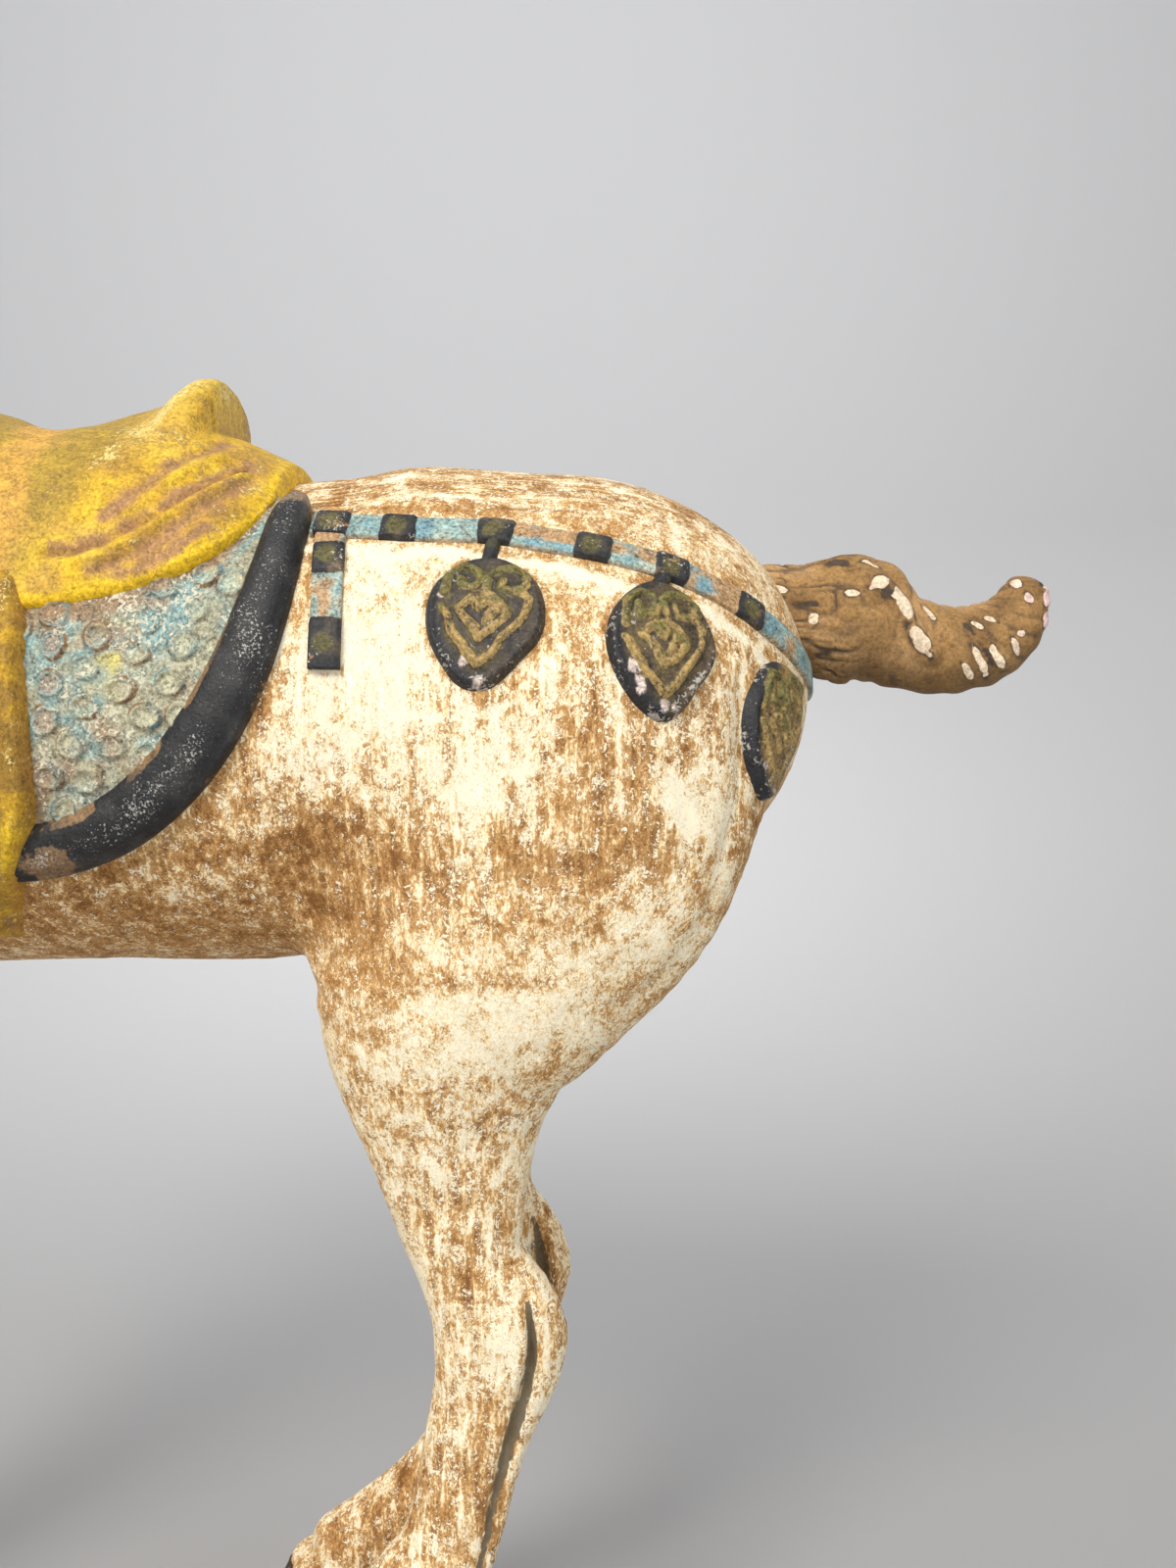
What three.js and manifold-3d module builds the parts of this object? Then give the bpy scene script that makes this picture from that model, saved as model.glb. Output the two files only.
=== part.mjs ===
// A terracotta horse on a low plinth, in millimetres, +Z up. The horse faces -X, and its left
// side, the one that is usually shown, faces -Y. The origin is at the middle of the plinth's
// underside. The horse is one fired piece: torso, neck, head and legs are a smooth union that
// is turned into a mesh, and saddle, roll, harness, tail, mane and ears are joined on to it.
import * as THREE from "three";
import { mergeVertices } from "three/addons/utils/BufferGeometryUtils.js";
import Module from "manifold-3d";

const wasm = await Module();
wasm.setup();
const { MathUtils, Vector3 } = THREE;

// Driving dimensions
const PLINTH = { length: 372, width: 160, height: 18, corner: 12, chamfer: 2.5, cornerSteps: 5 };
const REST_GAP = 0.3;
const GROUND = PLINTH.height + REST_GAP;
// How deep everything that is joined on reaches below the horse's skin
const SINK = 3;

// A limb is a row of stations along its spine: x, z and y of the middle, then the half
// thickness across the spine seen from the side (deep), and the half thickness along Y
// (wide). The caps say how far its ends bulge past the first and the last station.
const TORSO = {
  caps: [44, 101.5],
  stations: [
    [-142, 428, 0, 66, 56],
    [-112, 417, 0, 88, 73],
    [-80, 414, 0, 96, 82],
    [-20, 411, 0, 94, 87],
    [45, 411, 0, 93, 88],
    [105, 414, 0, 96, 86],
    [160, 421, 0, 94, 84],
    [222, 424, 0, 87.5, 82],
  ],
};
const NECK = {
  caps: [50, 24],
  stations: [
    [-88, 430, 0, 76, 60],
    [-118, 482, 0, 74, 50],
    [-143, 530, 0, 60, 39],
    [-159, 578, 0, 47, 31],
    [-171, 625, 0, 39, 26],
    [-183, 664, 0, 33, 24],
  ],
};
const HEAD = {
  caps: [26, 12],
  stations: [
    [-186, 677, 0, 29, 25],
    [-203, 654, 0, 34, 28],
    [-224, 628, 0, 28, 23],
    [-246, 601, 0, 21.5, 17],
    [-262, 582, 0, 20, 17.5],
    [-270, 572, 0, 17, 15.5],
  ],
};
const HIND_LEG = {
  caps: [40, 12],
  stations: [
    [222, 418, 42, 66, 40],
    [219, 375, 43, 76, 40],
    [200, 333, 43, 63.5, 37],
    [185.5, 306, 42, 53.5, 32],
    [182.5, 281, 41, 43, 25.5],
    [183, 262, 40, 35, 20],
    [184.5, 244, 39.5, 29, 16.5],
    [187, 225, 39, 24, 14.5],
    [191, 207, 38.5, 20.5, 13.5],
    [198.5, 191, 38.5, 23.5, 14],
    [202, 179, 38, 25.5, 14.5],
    [199, 162, 38, 22.5, 13],
    [194.5, 148, 38, 20, 12],
    [189.5, 128, 38, 18.5, 11.5],
    [183.5, 104, 38, 18, 11.5],
    [173, 84, 38, 20.5, 13.5],
    [151, 68, 38, 17.5, 12.5],
    [130, 52, 38, 18.5, 15],
  ],
};
const FORE_LEG = {
  caps: [40, 12],
  stations: [
    [-112, 425, 40, 52, 36],
    [-118, 378, 43, 46, 33],
    [-122, 338, 43, 38, 28],
    [-124, 300, 42, 29, 22],
    [-124, 258, 40, 22, 17.5],
    [-124, 222, 39, 19, 15.5],
    [-127, 195, 38.5, 20.5, 16.5],
    [-127, 176, 38.5, 19, 15.5],
    [-123, 146, 38, 15.5, 12],
    [-121, 112, 38, 15.5, 11.5],
    [-123, 88, 38, 19, 13.5],
    [-138, 68, 38, 15.5, 12.5],
    [-154, 51, 38, 17, 14.5],
  ],
};

// Hooves are leaning cones from the coronet to the sole: the half sizes at both ends
const HOOF = { top: 50, sole: 12, lean: 10, topDeep: 20, topWide: 16.5, soleDeep: 30, soleWide: 23 };
const HIND_HOOF = { x: 125, y: 38 };
const FORE_HOOF = { x: -151, y: 38 };

// Fillets where the limbs run into each other
const BLEND = { neck: 34, thigh: 26, shoulder: 30, head: 16, hoof: 3 };

// The docked tail is bound and folded: a root, a knot, and a twisted end that curls up
const TAIL = {
  caps: [4, 5],
  stations: [
    [284, 452, 0, 22, 17],
    [302, 453.5, 0, 24, 18],
    [320, 454.5, 0, 22.5, 16.5],
    [338, 454.5, 0, 26, 18.5],
    [350, 454, 0, 25, 18.5],
    [362, 446.5, 0, 19.5, 16],
    [382, 442.5, 0, 17.5, 14.5],
    [399, 446.5, 0, 16, 13],
    [410, 455.5, 0, 13.5, 11.5],
    [416, 464.5, 0, 10.5, 9],
  ],
};
const TWIST = { from: 0.5, turns: 0.8, depth: 0.13, lobes: 3 };
const MANE = {
  caps: [6, 6],
  stations: [
    [-58, 505, 0, 12, 8],
    [-84, 545, 0, 17, 9],
    [-104, 590, 0, 16, 8],
    [-122, 632, 0, 16, 8],
    [-141, 674, 0, 15, 8],
    [-160, 700, 0, 13, 8],
    [-186, 710, 0, 12, 8],
    [-206, 695, 0, 8, 9],
  ],
};
const LOCKS = { count: 8, depth: 0.14 };
const EAR = {
  caps: [4, 3],
  stations: [
    [-178, 694, -12, 9, 9],
    [-177, 712, -16, 10, 7.5],
    [-175, 726, -19, 7.5, 5.5],
    [-176, 738, -20, 3, 2.6],
  ],
};

// The saddle is a seat between two arches, under a cloth that is gathered on each side
const SADDLE = { centre: 29, archOffset: 51 };
const SADDLE_SEAT = {
  caps: [24, 24],
  stations: [
    [-38, 448, 0, 64, 84],
    [-20, 458, 0, 72, 82],
    [2, 455, 0, 76, 84],
    [29, 449, 0, 79, 86],
    [56, 455, 0, 76, 84],
    [78, 458, 0, 72, 82],
    [96, 448, 0, 64, 84],
  ],
};
const ARCH = { rise: 500, radius: 40, thick: 11.5, lean: 5, fillet: 12 };
// The cloth over the saddle: its lower edge is half an ellipse. Its rows stand at these shares
// of its half length, closest at the arches, and its folds run like rays from the gather.
const COVER = { halfLength: 100, edgeEnds: 503, edgeDrop: 56, thick: 4, axis: 430, columns: 19 };
const COVER_ROWS = [0.22, 0.43, 0.51, 0.62, 0.72, 0.84, 0.94, 0.998];
const FOLDS = { z: 452, count: 3, depth: 3, spread: 1.35, from: 12, full: 45, fadeFrom: 505, fadeTop: 535 };
// The fall of cloth that hangs from the gather, and its half widths and lifts across
const FALL = { x: 23, halfWidth: 20, thick: 9, edgeThick: 5.4, top: 452, foot: 331, rows: 9, columns: 5 };
// The rug under the saddle ends in a thick roll, which runs along half a rounded oval
const RUG = { halfLength: 100, top: 502, foot: 364, power: 2.2 };
// A profile is a row of points over a strap: share of its width, share of its thickness
const ROUND_PROFILE = [[-0.5, 0.3], [-0.25, 0.95], [0.25, 0.95], [0.5, 0.3]];
const FLAT_PROFILE = [[-0.5, 1], [0.5, 1]];
const ROLL = { width: 21, endWidth: 12, taper: 0.25, thick: 7, profile: ROUND_PROFILE, steps: 22 };

// The harness: flat straps and leaf-shaped pendants. Points are x, y, z on the left side,
// near the skin that they are then set down on.
const STRAP = { width: 11, thick: 2, profile: FLAT_PROFILE };
const CRUPPER = {
  steps: 9,
  points: [
    [126, -62, 480],
    [170, -68, 479],
    [203, -68, 478],
    [237, -69, 471],
    [265, -65, 464],
    [283, -59, 457],
    [300, -48, 447],
    [310, -32, 438],
    [317, -14, 430],
    [319, 0, 427],
  ],
};
const HANGING_STRAP = {
  steps: 4,
  points: [
    [144, -66, 476],
    [145, -80, 449],
    [145, -85, 427],
  ],
};
const BREAST_STRAP = {
  steps: 7,
  points: [
    [-68, -68, 478],
    [-88, -72, 468],
    [-116, -74, 452],
    [-142, -68, 440],
    [-165, -52, 431],
    [-182, -27, 425],
    [-188, 0, 422],
  ],
};
const PENDANT = { width: 41, height: 50, power: 1.7, thick: 4.5, rimThick: 3.2, corners: 10 };
const SIDE_PENDANTS = [
  [200, -83, 444],
  [261, -79, 435],
  [304, -49, 408],
  [-112, -78, 420],
  [-158, -58, 402],
];
const CHEST_PENDANT = [-189, 0, 388];

// Smooth minimum: a fillet of about the given size where two fields meet
function blend(a, b, size) {
  const h = Math.max(size - Math.abs(a - b), 0) / size;
  return Math.min(a, b) - h * h * size * 0.25;
}

// A limb's spine and its half thicknesses, as smooth curves through its stations
function limbCurves({ stations }) {
  const spine = new THREE.CatmullRomCurve3(stations.map(([x, z, y]) => new Vector3(x, y, z)));
  const sizes = new THREE.CatmullRomCurve3(
    stations.map(([, , , deep, wide]) => new Vector3(deep, wide, 0)),
  );
  return { spine, sizes };
}

// A limb as points along its curves, close enough for its straight stretches not to show
function sampledLimb(limb) {
  const spacing = 7;
  const { spine, sizes } = limbCurves(limb);
  const stretches = limb.stations.length - 1;
  const shares = [];
  for (let i = 0; i < stretches; i++) {
    const [a, b] = [limb.stations[i], limb.stations[i + 1]];
    const steps = Math.max(1, Math.round(Math.hypot(b[0] - a[0], b[1] - a[1]) / spacing));
    for (let s = 0; s < steps; s++) shares.push((i + s / steps) / stretches);
  }
  shares.push(1);
  const points = shares.map((share) => {
    const { x, y, z } = spine.getPoint(share);
    const size = sizes.getPoint(share);
    return { x, y, z, deep: size.x, wide: size.y };
  });
  return { points, caps: limb.caps };
}

// Signed distance, near enough, from a place to a limb, below zero inside: each stretch of the
// spine gives its nearest point, and the place is set against the ellipse there
function limbField({ points, caps }, x, y, z) {
  const last = points.length - 2;
  let nearest = Infinity;
  for (let i = 0; i <= last; i++) {
    const a = points[i];
    const b = points[i + 1];
    const ux = b.x - a.x, uy = b.y - a.y, uz = b.z - a.z;
    const px = x - a.x, py = y - a.y, pz = z - a.z;
    const t = MathUtils.clamp((px * ux + py * uy + pz * uz) / (ux * ux + uy * uy + uz * uz), 0, 1);
    const qx = px - ux * t, qy = py - uy * t, qz = pz - uz * t;
    const distance = Math.hypot(qx, qy, qz);
    const deep = a.deep + (b.deep - a.deep) * t;
    const wide = a.wide + (b.wide - a.wide) * t;
    const flat = Math.hypot(ux, uz);
    const along = (qx * ux + qz * uz) / flat;
    const across = (qx * uz - qz * ux) / flat;
    let cap = Math.min(deep, wide);
    if (i === 0 && t === 0) cap = caps[0];
    if (i === last && t === 1) cap = caps[1];
    const scale = Math.hypot(across / deep, qy / wide, along / cap);
    const field = scale < 1e-6 ? -Math.min(deep, wide) : distance - distance / scale;
    nearest = Math.min(nearest, field);
  }
  return nearest;
}

const torso = sampledLimb(TORSO);
const neck = sampledLimb(NECK);
const head = sampledLimb(HEAD);
const hindLeg = sampledLimb(HIND_LEG);
const foreLeg = sampledLimb(FORE_LEG);
const seat = sampledLimb(SADDLE_SEAT);

function hoofField(hoof, x, y, z) {
  const t = (HOOF.top - z) / (HOOF.top - HOOF.sole);
  const deep = MathUtils.lerp(HOOF.topDeep, HOOF.soleDeep, t);
  const wide = MathUtils.lerp(HOOF.topWide, HOOF.soleWide, t);
  const qx = x - hoof.x + HOOF.lean * t;
  const qy = y - hoof.y;
  const distance = Math.hypot(qx, qy);
  const scale = Math.hypot(qx / deep, qy / wide);
  const side = scale < 1e-6 ? -wide : distance - distance / scale;
  return Math.max(side, z - HOOF.top - 4, HOOF.sole - z);
}

// The bare horse, the same on both sides. Limbs are left out where they are far away.
function bareHorse(x, eitherSide, z) {
  const y = Math.abs(eitherSide);
  let d = blend(limbField(torso, x, y, z), limbField(neck, x, y, z), BLEND.neck);
  if (x > 60) d = blend(d, limbField(hindLeg, x, y, z), BLEND.thigh);
  if (x < 0) d = blend(d, limbField(foreLeg, x, y, z), BLEND.shoulder);
  if (x < -120 && z > 480) d = blend(d, limbField(head, x, y, z), BLEND.head);
  if (z < 80) d = blend(d, hoofField(x > 0 ? HIND_HOOF : FORE_HOOF, x, y, z), BLEND.hoof);
  return d;
}

// One of the saddle's arches, in front (side -1) or behind (side 1)
function archField(x, y, z, side) {
  const up = z - ARCH.rise;
  const middle = SADDLE.centre + side * (SADDLE.archOffset + (up / ARCH.radius) * ARCH.lean);
  const beyond = Math.max(0, Math.hypot(y, up) - ARCH.radius);
  return Math.hypot(beyond, x - middle) - ARCH.thick;
}

// How far the saddle cloth's folds stand out
function foldLift(x, z) {
  const along = Math.abs(x - SADDLE.centre);
  const up = z - FOLDS.z;
  const angle = Math.atan2(Math.max(0, up), along);
  const rise = MathUtils.smoothstep(Math.hypot(along, up), FOLDS.from, FOLDS.full);
  const fade = 1 - MathUtils.smoothstep(z, FOLDS.fadeFrom, FOLDS.fadeTop);
  return FOLDS.depth * rise * fade * Math.cos((angle / FOLDS.spread) * FOLDS.count * 2 * Math.PI);
}

// The outside of the saddle cloth, which also lies on the horse's back
function coverField(x, y, z) {
  let d = limbField(seat, x, y, z);
  for (const side of [-1, 1]) d = blend(d, archField(x, y, z, side), ARCH.fillet);
  return Math.min(d - foldLift(x, z), bareHorse(x, y, z) - COVER.thick);
}

// Grid lines from one end past the other, with a step that the place decides
function gridLines(from, to, stepAt) {
  const lines = [from];
  while (lines.at(-1) < to) lines.push(lines.at(-1) + stepAt(lines.at(-1)));
  return lines;
}

// A cube's corners as bits (1: +x, 2: +y, 4: +z), its edges as corner pairs, and its faces
const EDGES = [];
for (let corner = 0; corner < 8; corner++)
  for (const bit of [1, 2, 4]) if (!(corner & bit)) EDGES.push([corner, corner | bit]);
const edgeIndex = (a, b) => EDGES.findIndex(([c, d]) => c === Math.min(a, b) && d === Math.max(a, b));
const FACES = [];
for (const [bit, u, v] of [[1, 2, 4], [2, 4, 1], [4, 1, 2]])
  for (const base of [0, bit]) FACES.push([base, base | u, base | u | v, base | v]);

// For a pattern of corners inside the surface: the patch of surface that crosses each edge, or
// -1. On a face with four crossings the inside corners are kept apart, alike for both cubes.
function patchesOf(pattern) {
  const inside = (corner) => (pattern >> corner) & 1;
  const owner = EDGES.map((edge, i) => i);
  const find = (i) => (owner[i] === i ? i : find(owner[i]));
  const join = (a, b) => (owner[find(a)] = find(b));
  for (const face of FACES) {
    const sides = face.map((corner, k) => [corner, face[(k + 1) % 4]]);
    const crossed = sides.filter(([a, b]) => inside(a) !== inside(b));
    if (crossed.length === 2) join(edgeIndex(...crossed[0]), edgeIndex(...crossed[1]));
    if (crossed.length === 4)
      face.forEach((corner, k) => {
        if (inside(corner)) join(edgeIndex(...sides[(k + 3) % 4]), edgeIndex(...sides[k]));
      });
  }
  return EDGES.map(([a, b], i) => (inside(a) !== inside(b) ? find(i) : -1));
}
const PATCHES = Array.from({ length: 256 }, (unused, pattern) => patchesOf(pattern));

// Turns a field into a closed mesh: one vertex for each patch of surface in a cube of the
// grid, and one quad round each grid edge that the surface crosses
function meshField(field, xs, ys, zs) {
  const [nx, ny, nz] = [xs.length, ys.length, zs.length];
  const at = (i, j, k) => (k * ny + j) * nx + i;
  const values = new Float32Array(nx * ny * nz);
  zs.forEach((z, k) => ys.forEach((y, j) => xs.forEach((x, i) => (values[at(i, j, k)] = field(x, y, z)))));
  const cornerOf = (i, j, k, c) => [i + (c & 1), j + ((c >> 1) & 1), k + ((c >> 2) & 1)];
  const patternAt = (i, j, k) => {
    let pattern = 0;
    for (let c = 0; c < 8; c++) if (values[at(...cornerOf(i, j, k, c))] < 0) pattern |= 1 << c;
    return pattern;
  };

  const positions = [];
  const vertexOf = new Map();
  const addVertices = (i, j, k) => {
    const pattern = patternAt(i, j, k);
    if (pattern === 0 || pattern === 255) return;
    const crossings = new Map();
    PATCHES[pattern].forEach((patch, e) => {
      if (patch < 0) return;
      const [a, b] = EDGES[e].map((c) => cornerOf(i, j, k, c));
      const [va, vb] = [values[at(...a)], values[at(...b)]];
      const start = new Vector3(xs[a[0]], ys[a[1]], zs[a[2]]);
      const end = new Vector3(xs[b[0]], ys[b[1]], zs[b[2]]);
      if (!crossings.has(patch)) crossings.set(patch, []);
      crossings.get(patch).push(start.lerp(end, va / (va - vb)));
    });
    for (const [patch, points] of crossings) {
      vertexOf.set(at(i, j, k) * EDGES.length + patch, positions.length / 3);
      const middle = points.reduce((sum, p) => sum.add(p), new Vector3()).divideScalar(points.length);
      positions.push(...middle);
    }
  };
  for (let k = 0; k < nz - 1; k++)
    for (let j = 0; j < ny - 1; j++) for (let i = 0; i < nx - 1; i++) addVertices(i, j, k);

  const index = [];
  const vertexAt = (i, j, k, e) => vertexOf.get(at(i, j, k) * EDGES.length + PATCHES[patternAt(i, j, k)][e]);
  const addQuad = (i, j, k, n) => {
    const start = values[at(i, j, k)] < 0;
    const end = values[at(...cornerOf(i, j, k, 1 << n))] < 0;
    if (start === end) return;
    const [axis, u, v] = [1 << n, 1 << (n + 1) % 3, 1 << (n + 2) % 3];
    const around = [u | v, v, 0, u].map((c) =>
      vertexAt(i - (c & 1), j - ((c >> 1) & 1), k - ((c >> 2) & 1), edgeIndex(c, c | axis)),
    );
    if (!start) around.reverse();
    index.push(around[0], around[1], around[2], around[0], around[2], around[3]);
  };
  for (let k = 1; k < nz - 1; k++)
    for (let j = 1; j < ny - 1; j++)
      for (let i = 1; i < nx - 1; i++) for (const n of [0, 1, 2]) addQuad(i, j, k, n);
  return geometryFrom(positions, index);
}

function geometryFrom(positions, index) {
  const geometry = new THREE.BufferGeometry();
  geometry.setAttribute("position", new THREE.Float32BufferAttribute(positions, 3));
  geometry.setIndex(index);
  return geometry;
}

// The way up the field's slope at a point
function slope(field, { x, y, z }) {
  const step = 0.5;
  return new Vector3(
    field(x + step, y, z) - field(x - step, y, z),
    field(x, y + step, z) - field(x, y - step, z),
    field(x, y, z + step) - field(x, y, z - step),
  ).divideScalar(2 * step);
}

// Sets a point down on the bare horse, and gives the point and the way out of the skin
function setDown(from) {
  const tries = 6;
  const longest = 8;
  const point = from.clone();
  let out;
  for (let n = 0; n < tries; n++) {
    const uphill = slope(bareHorse, point);
    const move = bareHorse(...point) / Math.max(0.3, uphill.lengthSq());
    point.addScaledVector(uphill, -MathUtils.clamp(move, -longest, longest));
    out = uphill.normalize();
  }
  return { point, out };
}

function settled(geometry) {
  const position = geometry.getAttribute("position");
  for (let i = 0; i < position.count; i++) {
    const { point } = setDown(new Vector3().fromBufferAttribute(position, i));
    position.setXYZ(i, ...point);
  }
  return geometry;
}

// The bare horse's skin on the left side, seen from the side at x, z
function leftSkin(x, z) {
  const tries = 60;
  const caution = 0.7;
  const point = new Vector3(x, -115, z);
  for (let n = 0; n < tries; n++) point.y += caution * bareHorse(...point);
  return point;
}

// A closed three.js geometry as a manifold-3d solid
function solid(geometry) {
  const bare = mergeVertices(geometry.deleteAttribute("normal").deleteAttribute("uv"), 1e-4);
  return new wasm.Manifold(
    new wasm.Mesh({
      numProp: 3,
      vertProperties: new Float32Array(bare.getAttribute("position").array),
      triVerts: new Uint32Array(bare.index.array),
    }),
  );
}

// A solid from points and triangles, turned the right way out
function closedSolid(points, index) {
  const positions = points.flatMap((p) => p.toArray());
  const made = solid(geometryFrom(positions, index));
  return made.volume() > 0 ? made : solid(geometryFrom(positions, [...index].reverse()));
}

function geometryOf(made) {
  const mesh = made.getMesh();
  const positions = [];
  for (let i = 0; i < mesh.numVert; i++)
    positions.push(...mesh.vertProperties.subarray(i * mesh.numProp, i * mesh.numProp + 3));
  const geometry = geometryFrom(positions, [...mesh.triVerts]);
  geometry.computeVertexNormals();
  return geometry;
}

// A closed body between two grids of points, an outer one and an inner one
function skin(outer, inner, closedRows = false) {
  const rows = outer.length;
  const lastColumn = outer[0].length - 1;
  const at = (r, c, layer) => (layer * rows + (r % rows)) * (lastColumn + 1) + c;
  const index = [];
  const quad = (a, b, c, d) => index.push(a, b, c, a, c, d);
  for (let r = 0; r < (closedRows ? rows : rows - 1); r++) {
    for (let c = 0; c < lastColumn; c++) {
      quad(at(r, c, 0), at(r + 1, c, 0), at(r + 1, c + 1, 0), at(r, c + 1, 0));
      quad(at(r, c, 1), at(r, c + 1, 1), at(r + 1, c + 1, 1), at(r + 1, c, 1));
    }
    quad(at(r, 0, 1), at(r + 1, 0, 1), at(r + 1, 0, 0), at(r, 0, 0));
    quad(at(r, lastColumn, 0), at(r + 1, lastColumn, 0), at(r + 1, lastColumn, 1), at(r, lastColumn, 1));
  }
  for (let c = 0; c < lastColumn && !closedRows; c++) {
    quad(at(0, c, 0), at(0, c + 1, 0), at(0, c + 1, 1), at(0, c, 1));
    quad(at(rows - 1, c, 1), at(rows - 1, c + 1, 1), at(rows - 1, c + 1, 0), at(rows - 1, c, 0));
  }
  return closedSolid([...outer.flat(), ...inner.flat()], index);
}

// A closed tube through rings of points, with a point at each end
function tube(rings, first, last) {
  const sides = rings[0].length;
  const lastRing = rings.length - 1;
  const end = rings.length * sides + 1;
  const at = (r, c) => 1 + r * sides + (c % sides);
  const index = [];
  for (let c = 0; c < sides; c++) {
    index.push(0, at(0, c + 1), at(0, c));
    index.push(end, at(lastRing, c), at(lastRing, c + 1));
    for (let r = 0; r < lastRing; r++) {
      index.push(at(r, c), at(r, c + 1), at(r + 1, c + 1));
      index.push(at(r, c), at(r + 1, c + 1), at(r + 1, c));
    }
  }
  return closedSolid([first, ...rings.flat(), last], index);
}

// A limb as a tube of its own, its sections shaped by a factor of angle and place
function limbTube(limb, steps, sides, shape = () => 1) {
  const { spine, sizes } = limbCurves(limb);
  const ringAt = (t) => {
    const along = spine.getTangent(t);
    const across = new Vector3(along.z, 0, -along.x).normalize();
    const size = sizes.getPoint(t);
    return Array.from({ length: sides }, (unused, c) => {
      const angle = (c / sides) * 2 * Math.PI;
      const factor = shape(angle, t);
      const spot = spine.getPoint(t).addScaledVector(across, size.x * factor * Math.cos(angle));
      spot.y += size.y * factor * Math.sin(angle);
      return spot;
    });
  };
  const rings = Array.from({ length: steps + 1 }, (unused, r) => ringAt(r / steps));
  const tip = (t, cap) => spine.getPoint(t).addScaledVector(spine.getTangent(t), cap);
  return tube(rings, tip(0, -limb.caps[0]), tip(1, limb.caps[1]));
}

function tailSolid() {
  const shape = (angle, t) => {
    const turn = Math.max(0, t - TWIST.from) * TWIST.turns * 2 * Math.PI;
    return 1 + TWIST.depth * Math.min(1, turn) * Math.cos(TWIST.lobes * (angle - turn));
  };
  return limbTube(TAIL, 16, 12, shape);
}

function maneSolid() {
  const shape = (angle, t) => 1 + LOCKS.depth * Math.cos(t * LOCKS.count * 2 * Math.PI);
  return limbTube(MANE, 2 * LOCKS.count, 6, shape);
}

// A strap laid over the horse along a route of points
function strapAlong(route, { width, thick, profile }, widthAt = () => width) {
  const last = route.length - 1;
  const sat = route.map(setDown);
  const rowAt = (i, liftOf) => {
    const { point, out } = sat[i];
    const onwards = sat[Math.min(last, i + 1)].point.clone().sub(sat[Math.max(0, i - 1)].point);
    const across = onwards.cross(out).normalize();
    return profile.map(([share, lift]) =>
      point.clone().addScaledVector(across, share * widthAt(i / last)).addScaledVector(out, liftOf(lift)),
    );
  };
  const outer = sat.map((unused, i) => rowAt(i, (lift) => lift * thick));
  const inner = sat.map((unused, i) => rowAt(i, () => -SINK));
  return skin(outer, inner);
}

function smoothRoute({ points, steps }) {
  return new THREE.CatmullRomCurve3(points.map((p) => new Vector3(...p))).getSpacedPoints(steps);
}

// A route that ends at the middle, with its mirror image added on the right side
function overBothSides(route) {
  const mirrored = route.slice(0, -1).map(({ x, y, z }) => new Vector3(x, -y, z));
  return [...route, ...mirrored.reverse()];
}

// A leaf-shaped pendant on the skin, domed a little towards its middle
function pendant(centre) {
  const { width, height, power, thick, rimThick, corners } = PENDANT;
  const { point, out } = setDown(new Vector3(...centre));
  const up = new Vector3(0, 0, 1).addScaledVector(out, -out.z).normalize();
  const side = up.clone().cross(out);
  const place = (angle, share, lift) => {
    const [c, s] = [Math.cos(angle), Math.sin(angle)];
    const far = (0.5 * share) / (Math.abs(c) ** power + Math.abs(s) ** power) ** (1 / power);
    const flat = point.clone().addScaledVector(side, far * width * c).addScaledVector(up, far * height * s);
    return setDown(flat).point.addScaledVector(out, lift);
  };
  const angles = Array.from({ length: corners }, (unused, c) => (c / corners) * 2 * Math.PI);
  const outer = angles.map((angle) => [place(angle, 0, thick), place(angle, 1, rimThick)]);
  const inner = angles.map((angle) => [place(angle, 0, -SINK), place(angle, 1, -SINK)]);
  return skin(outer, inner, true);
}

// Halves the span between low, where the test holds, and high, until the border is found
function borderOf(test, low, high) {
  const halvings = 24;
  for (let n = 0; n < halvings; n++) {
    const middle = (low + high) / 2;
    if (test(middle)) low = middle;
    else high = middle;
  }
  return low;
}

// The saddle under its cloth: rows over the back, from edge to edge, one behind the other
function saddleSolid() {
  const spotAt = (x, angle, field, lift) => {
    const way = new Vector3(0, Math.sin(angle), Math.cos(angle));
    const axis = new Vector3(x, 0, COVER.axis);
    const inside = (far) => field(...axis.clone().addScaledVector(way, far)) < 0;
    return axis.addScaledVector(way, borderOf(inside, 0, 140) + lift);
  };
  const rowAt = (share, layer) => {
    const x = SADDLE.centre + COVER.halfLength * share;
    const edge = COVER.edgeEnds - COVER.edgeDrop * Math.sqrt(1 - share * share);
    const widest = borderOf((angle) => spotAt(x, angle, coverField, 0).z > edge, 0, Math.PI / 2);
    return Array.from({ length: COVER.columns }, (unused, c) => {
      const angle = widest * ((2 * c) / (COVER.columns - 1) - 1);
      return layer === "outer" ? spotAt(x, angle, coverField, 0) : spotAt(x, angle, bareHorse, -SINK);
    });
  };
  const shares = [...COVER_ROWS.toReversed().map((share) => -share), 0, ...COVER_ROWS];
  return skin(
    shares.map((share) => rowAt(share, "outer")),
    shares.map((share) => rowAt(share, "inner")),
  );
}

// The roll round the rug, on the left side
function rollSolid() {
  const route = Array.from({ length: ROLL.steps + 1 }, (unused, r) => {
    const angle = (r / ROLL.steps) * Math.PI;
    const [c, s] = [Math.cos(angle), Math.sin(angle)];
    const along = Math.sign(c) * Math.abs(c) ** (2 / RUG.power);
    const down = Math.abs(s) ** (2 / RUG.power);
    return leftSkin(SADDLE.centre + RUG.halfLength * along, RUG.top - (RUG.top - RUG.foot) * down);
  });
  const grown = (t) => Math.min(1, Math.min(t, 1 - t) / ROLL.taper);
  return strapAlong(route, ROLL, (t) => MathUtils.lerp(ROLL.endWidth, ROLL.width, grown(t)));
}

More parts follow.
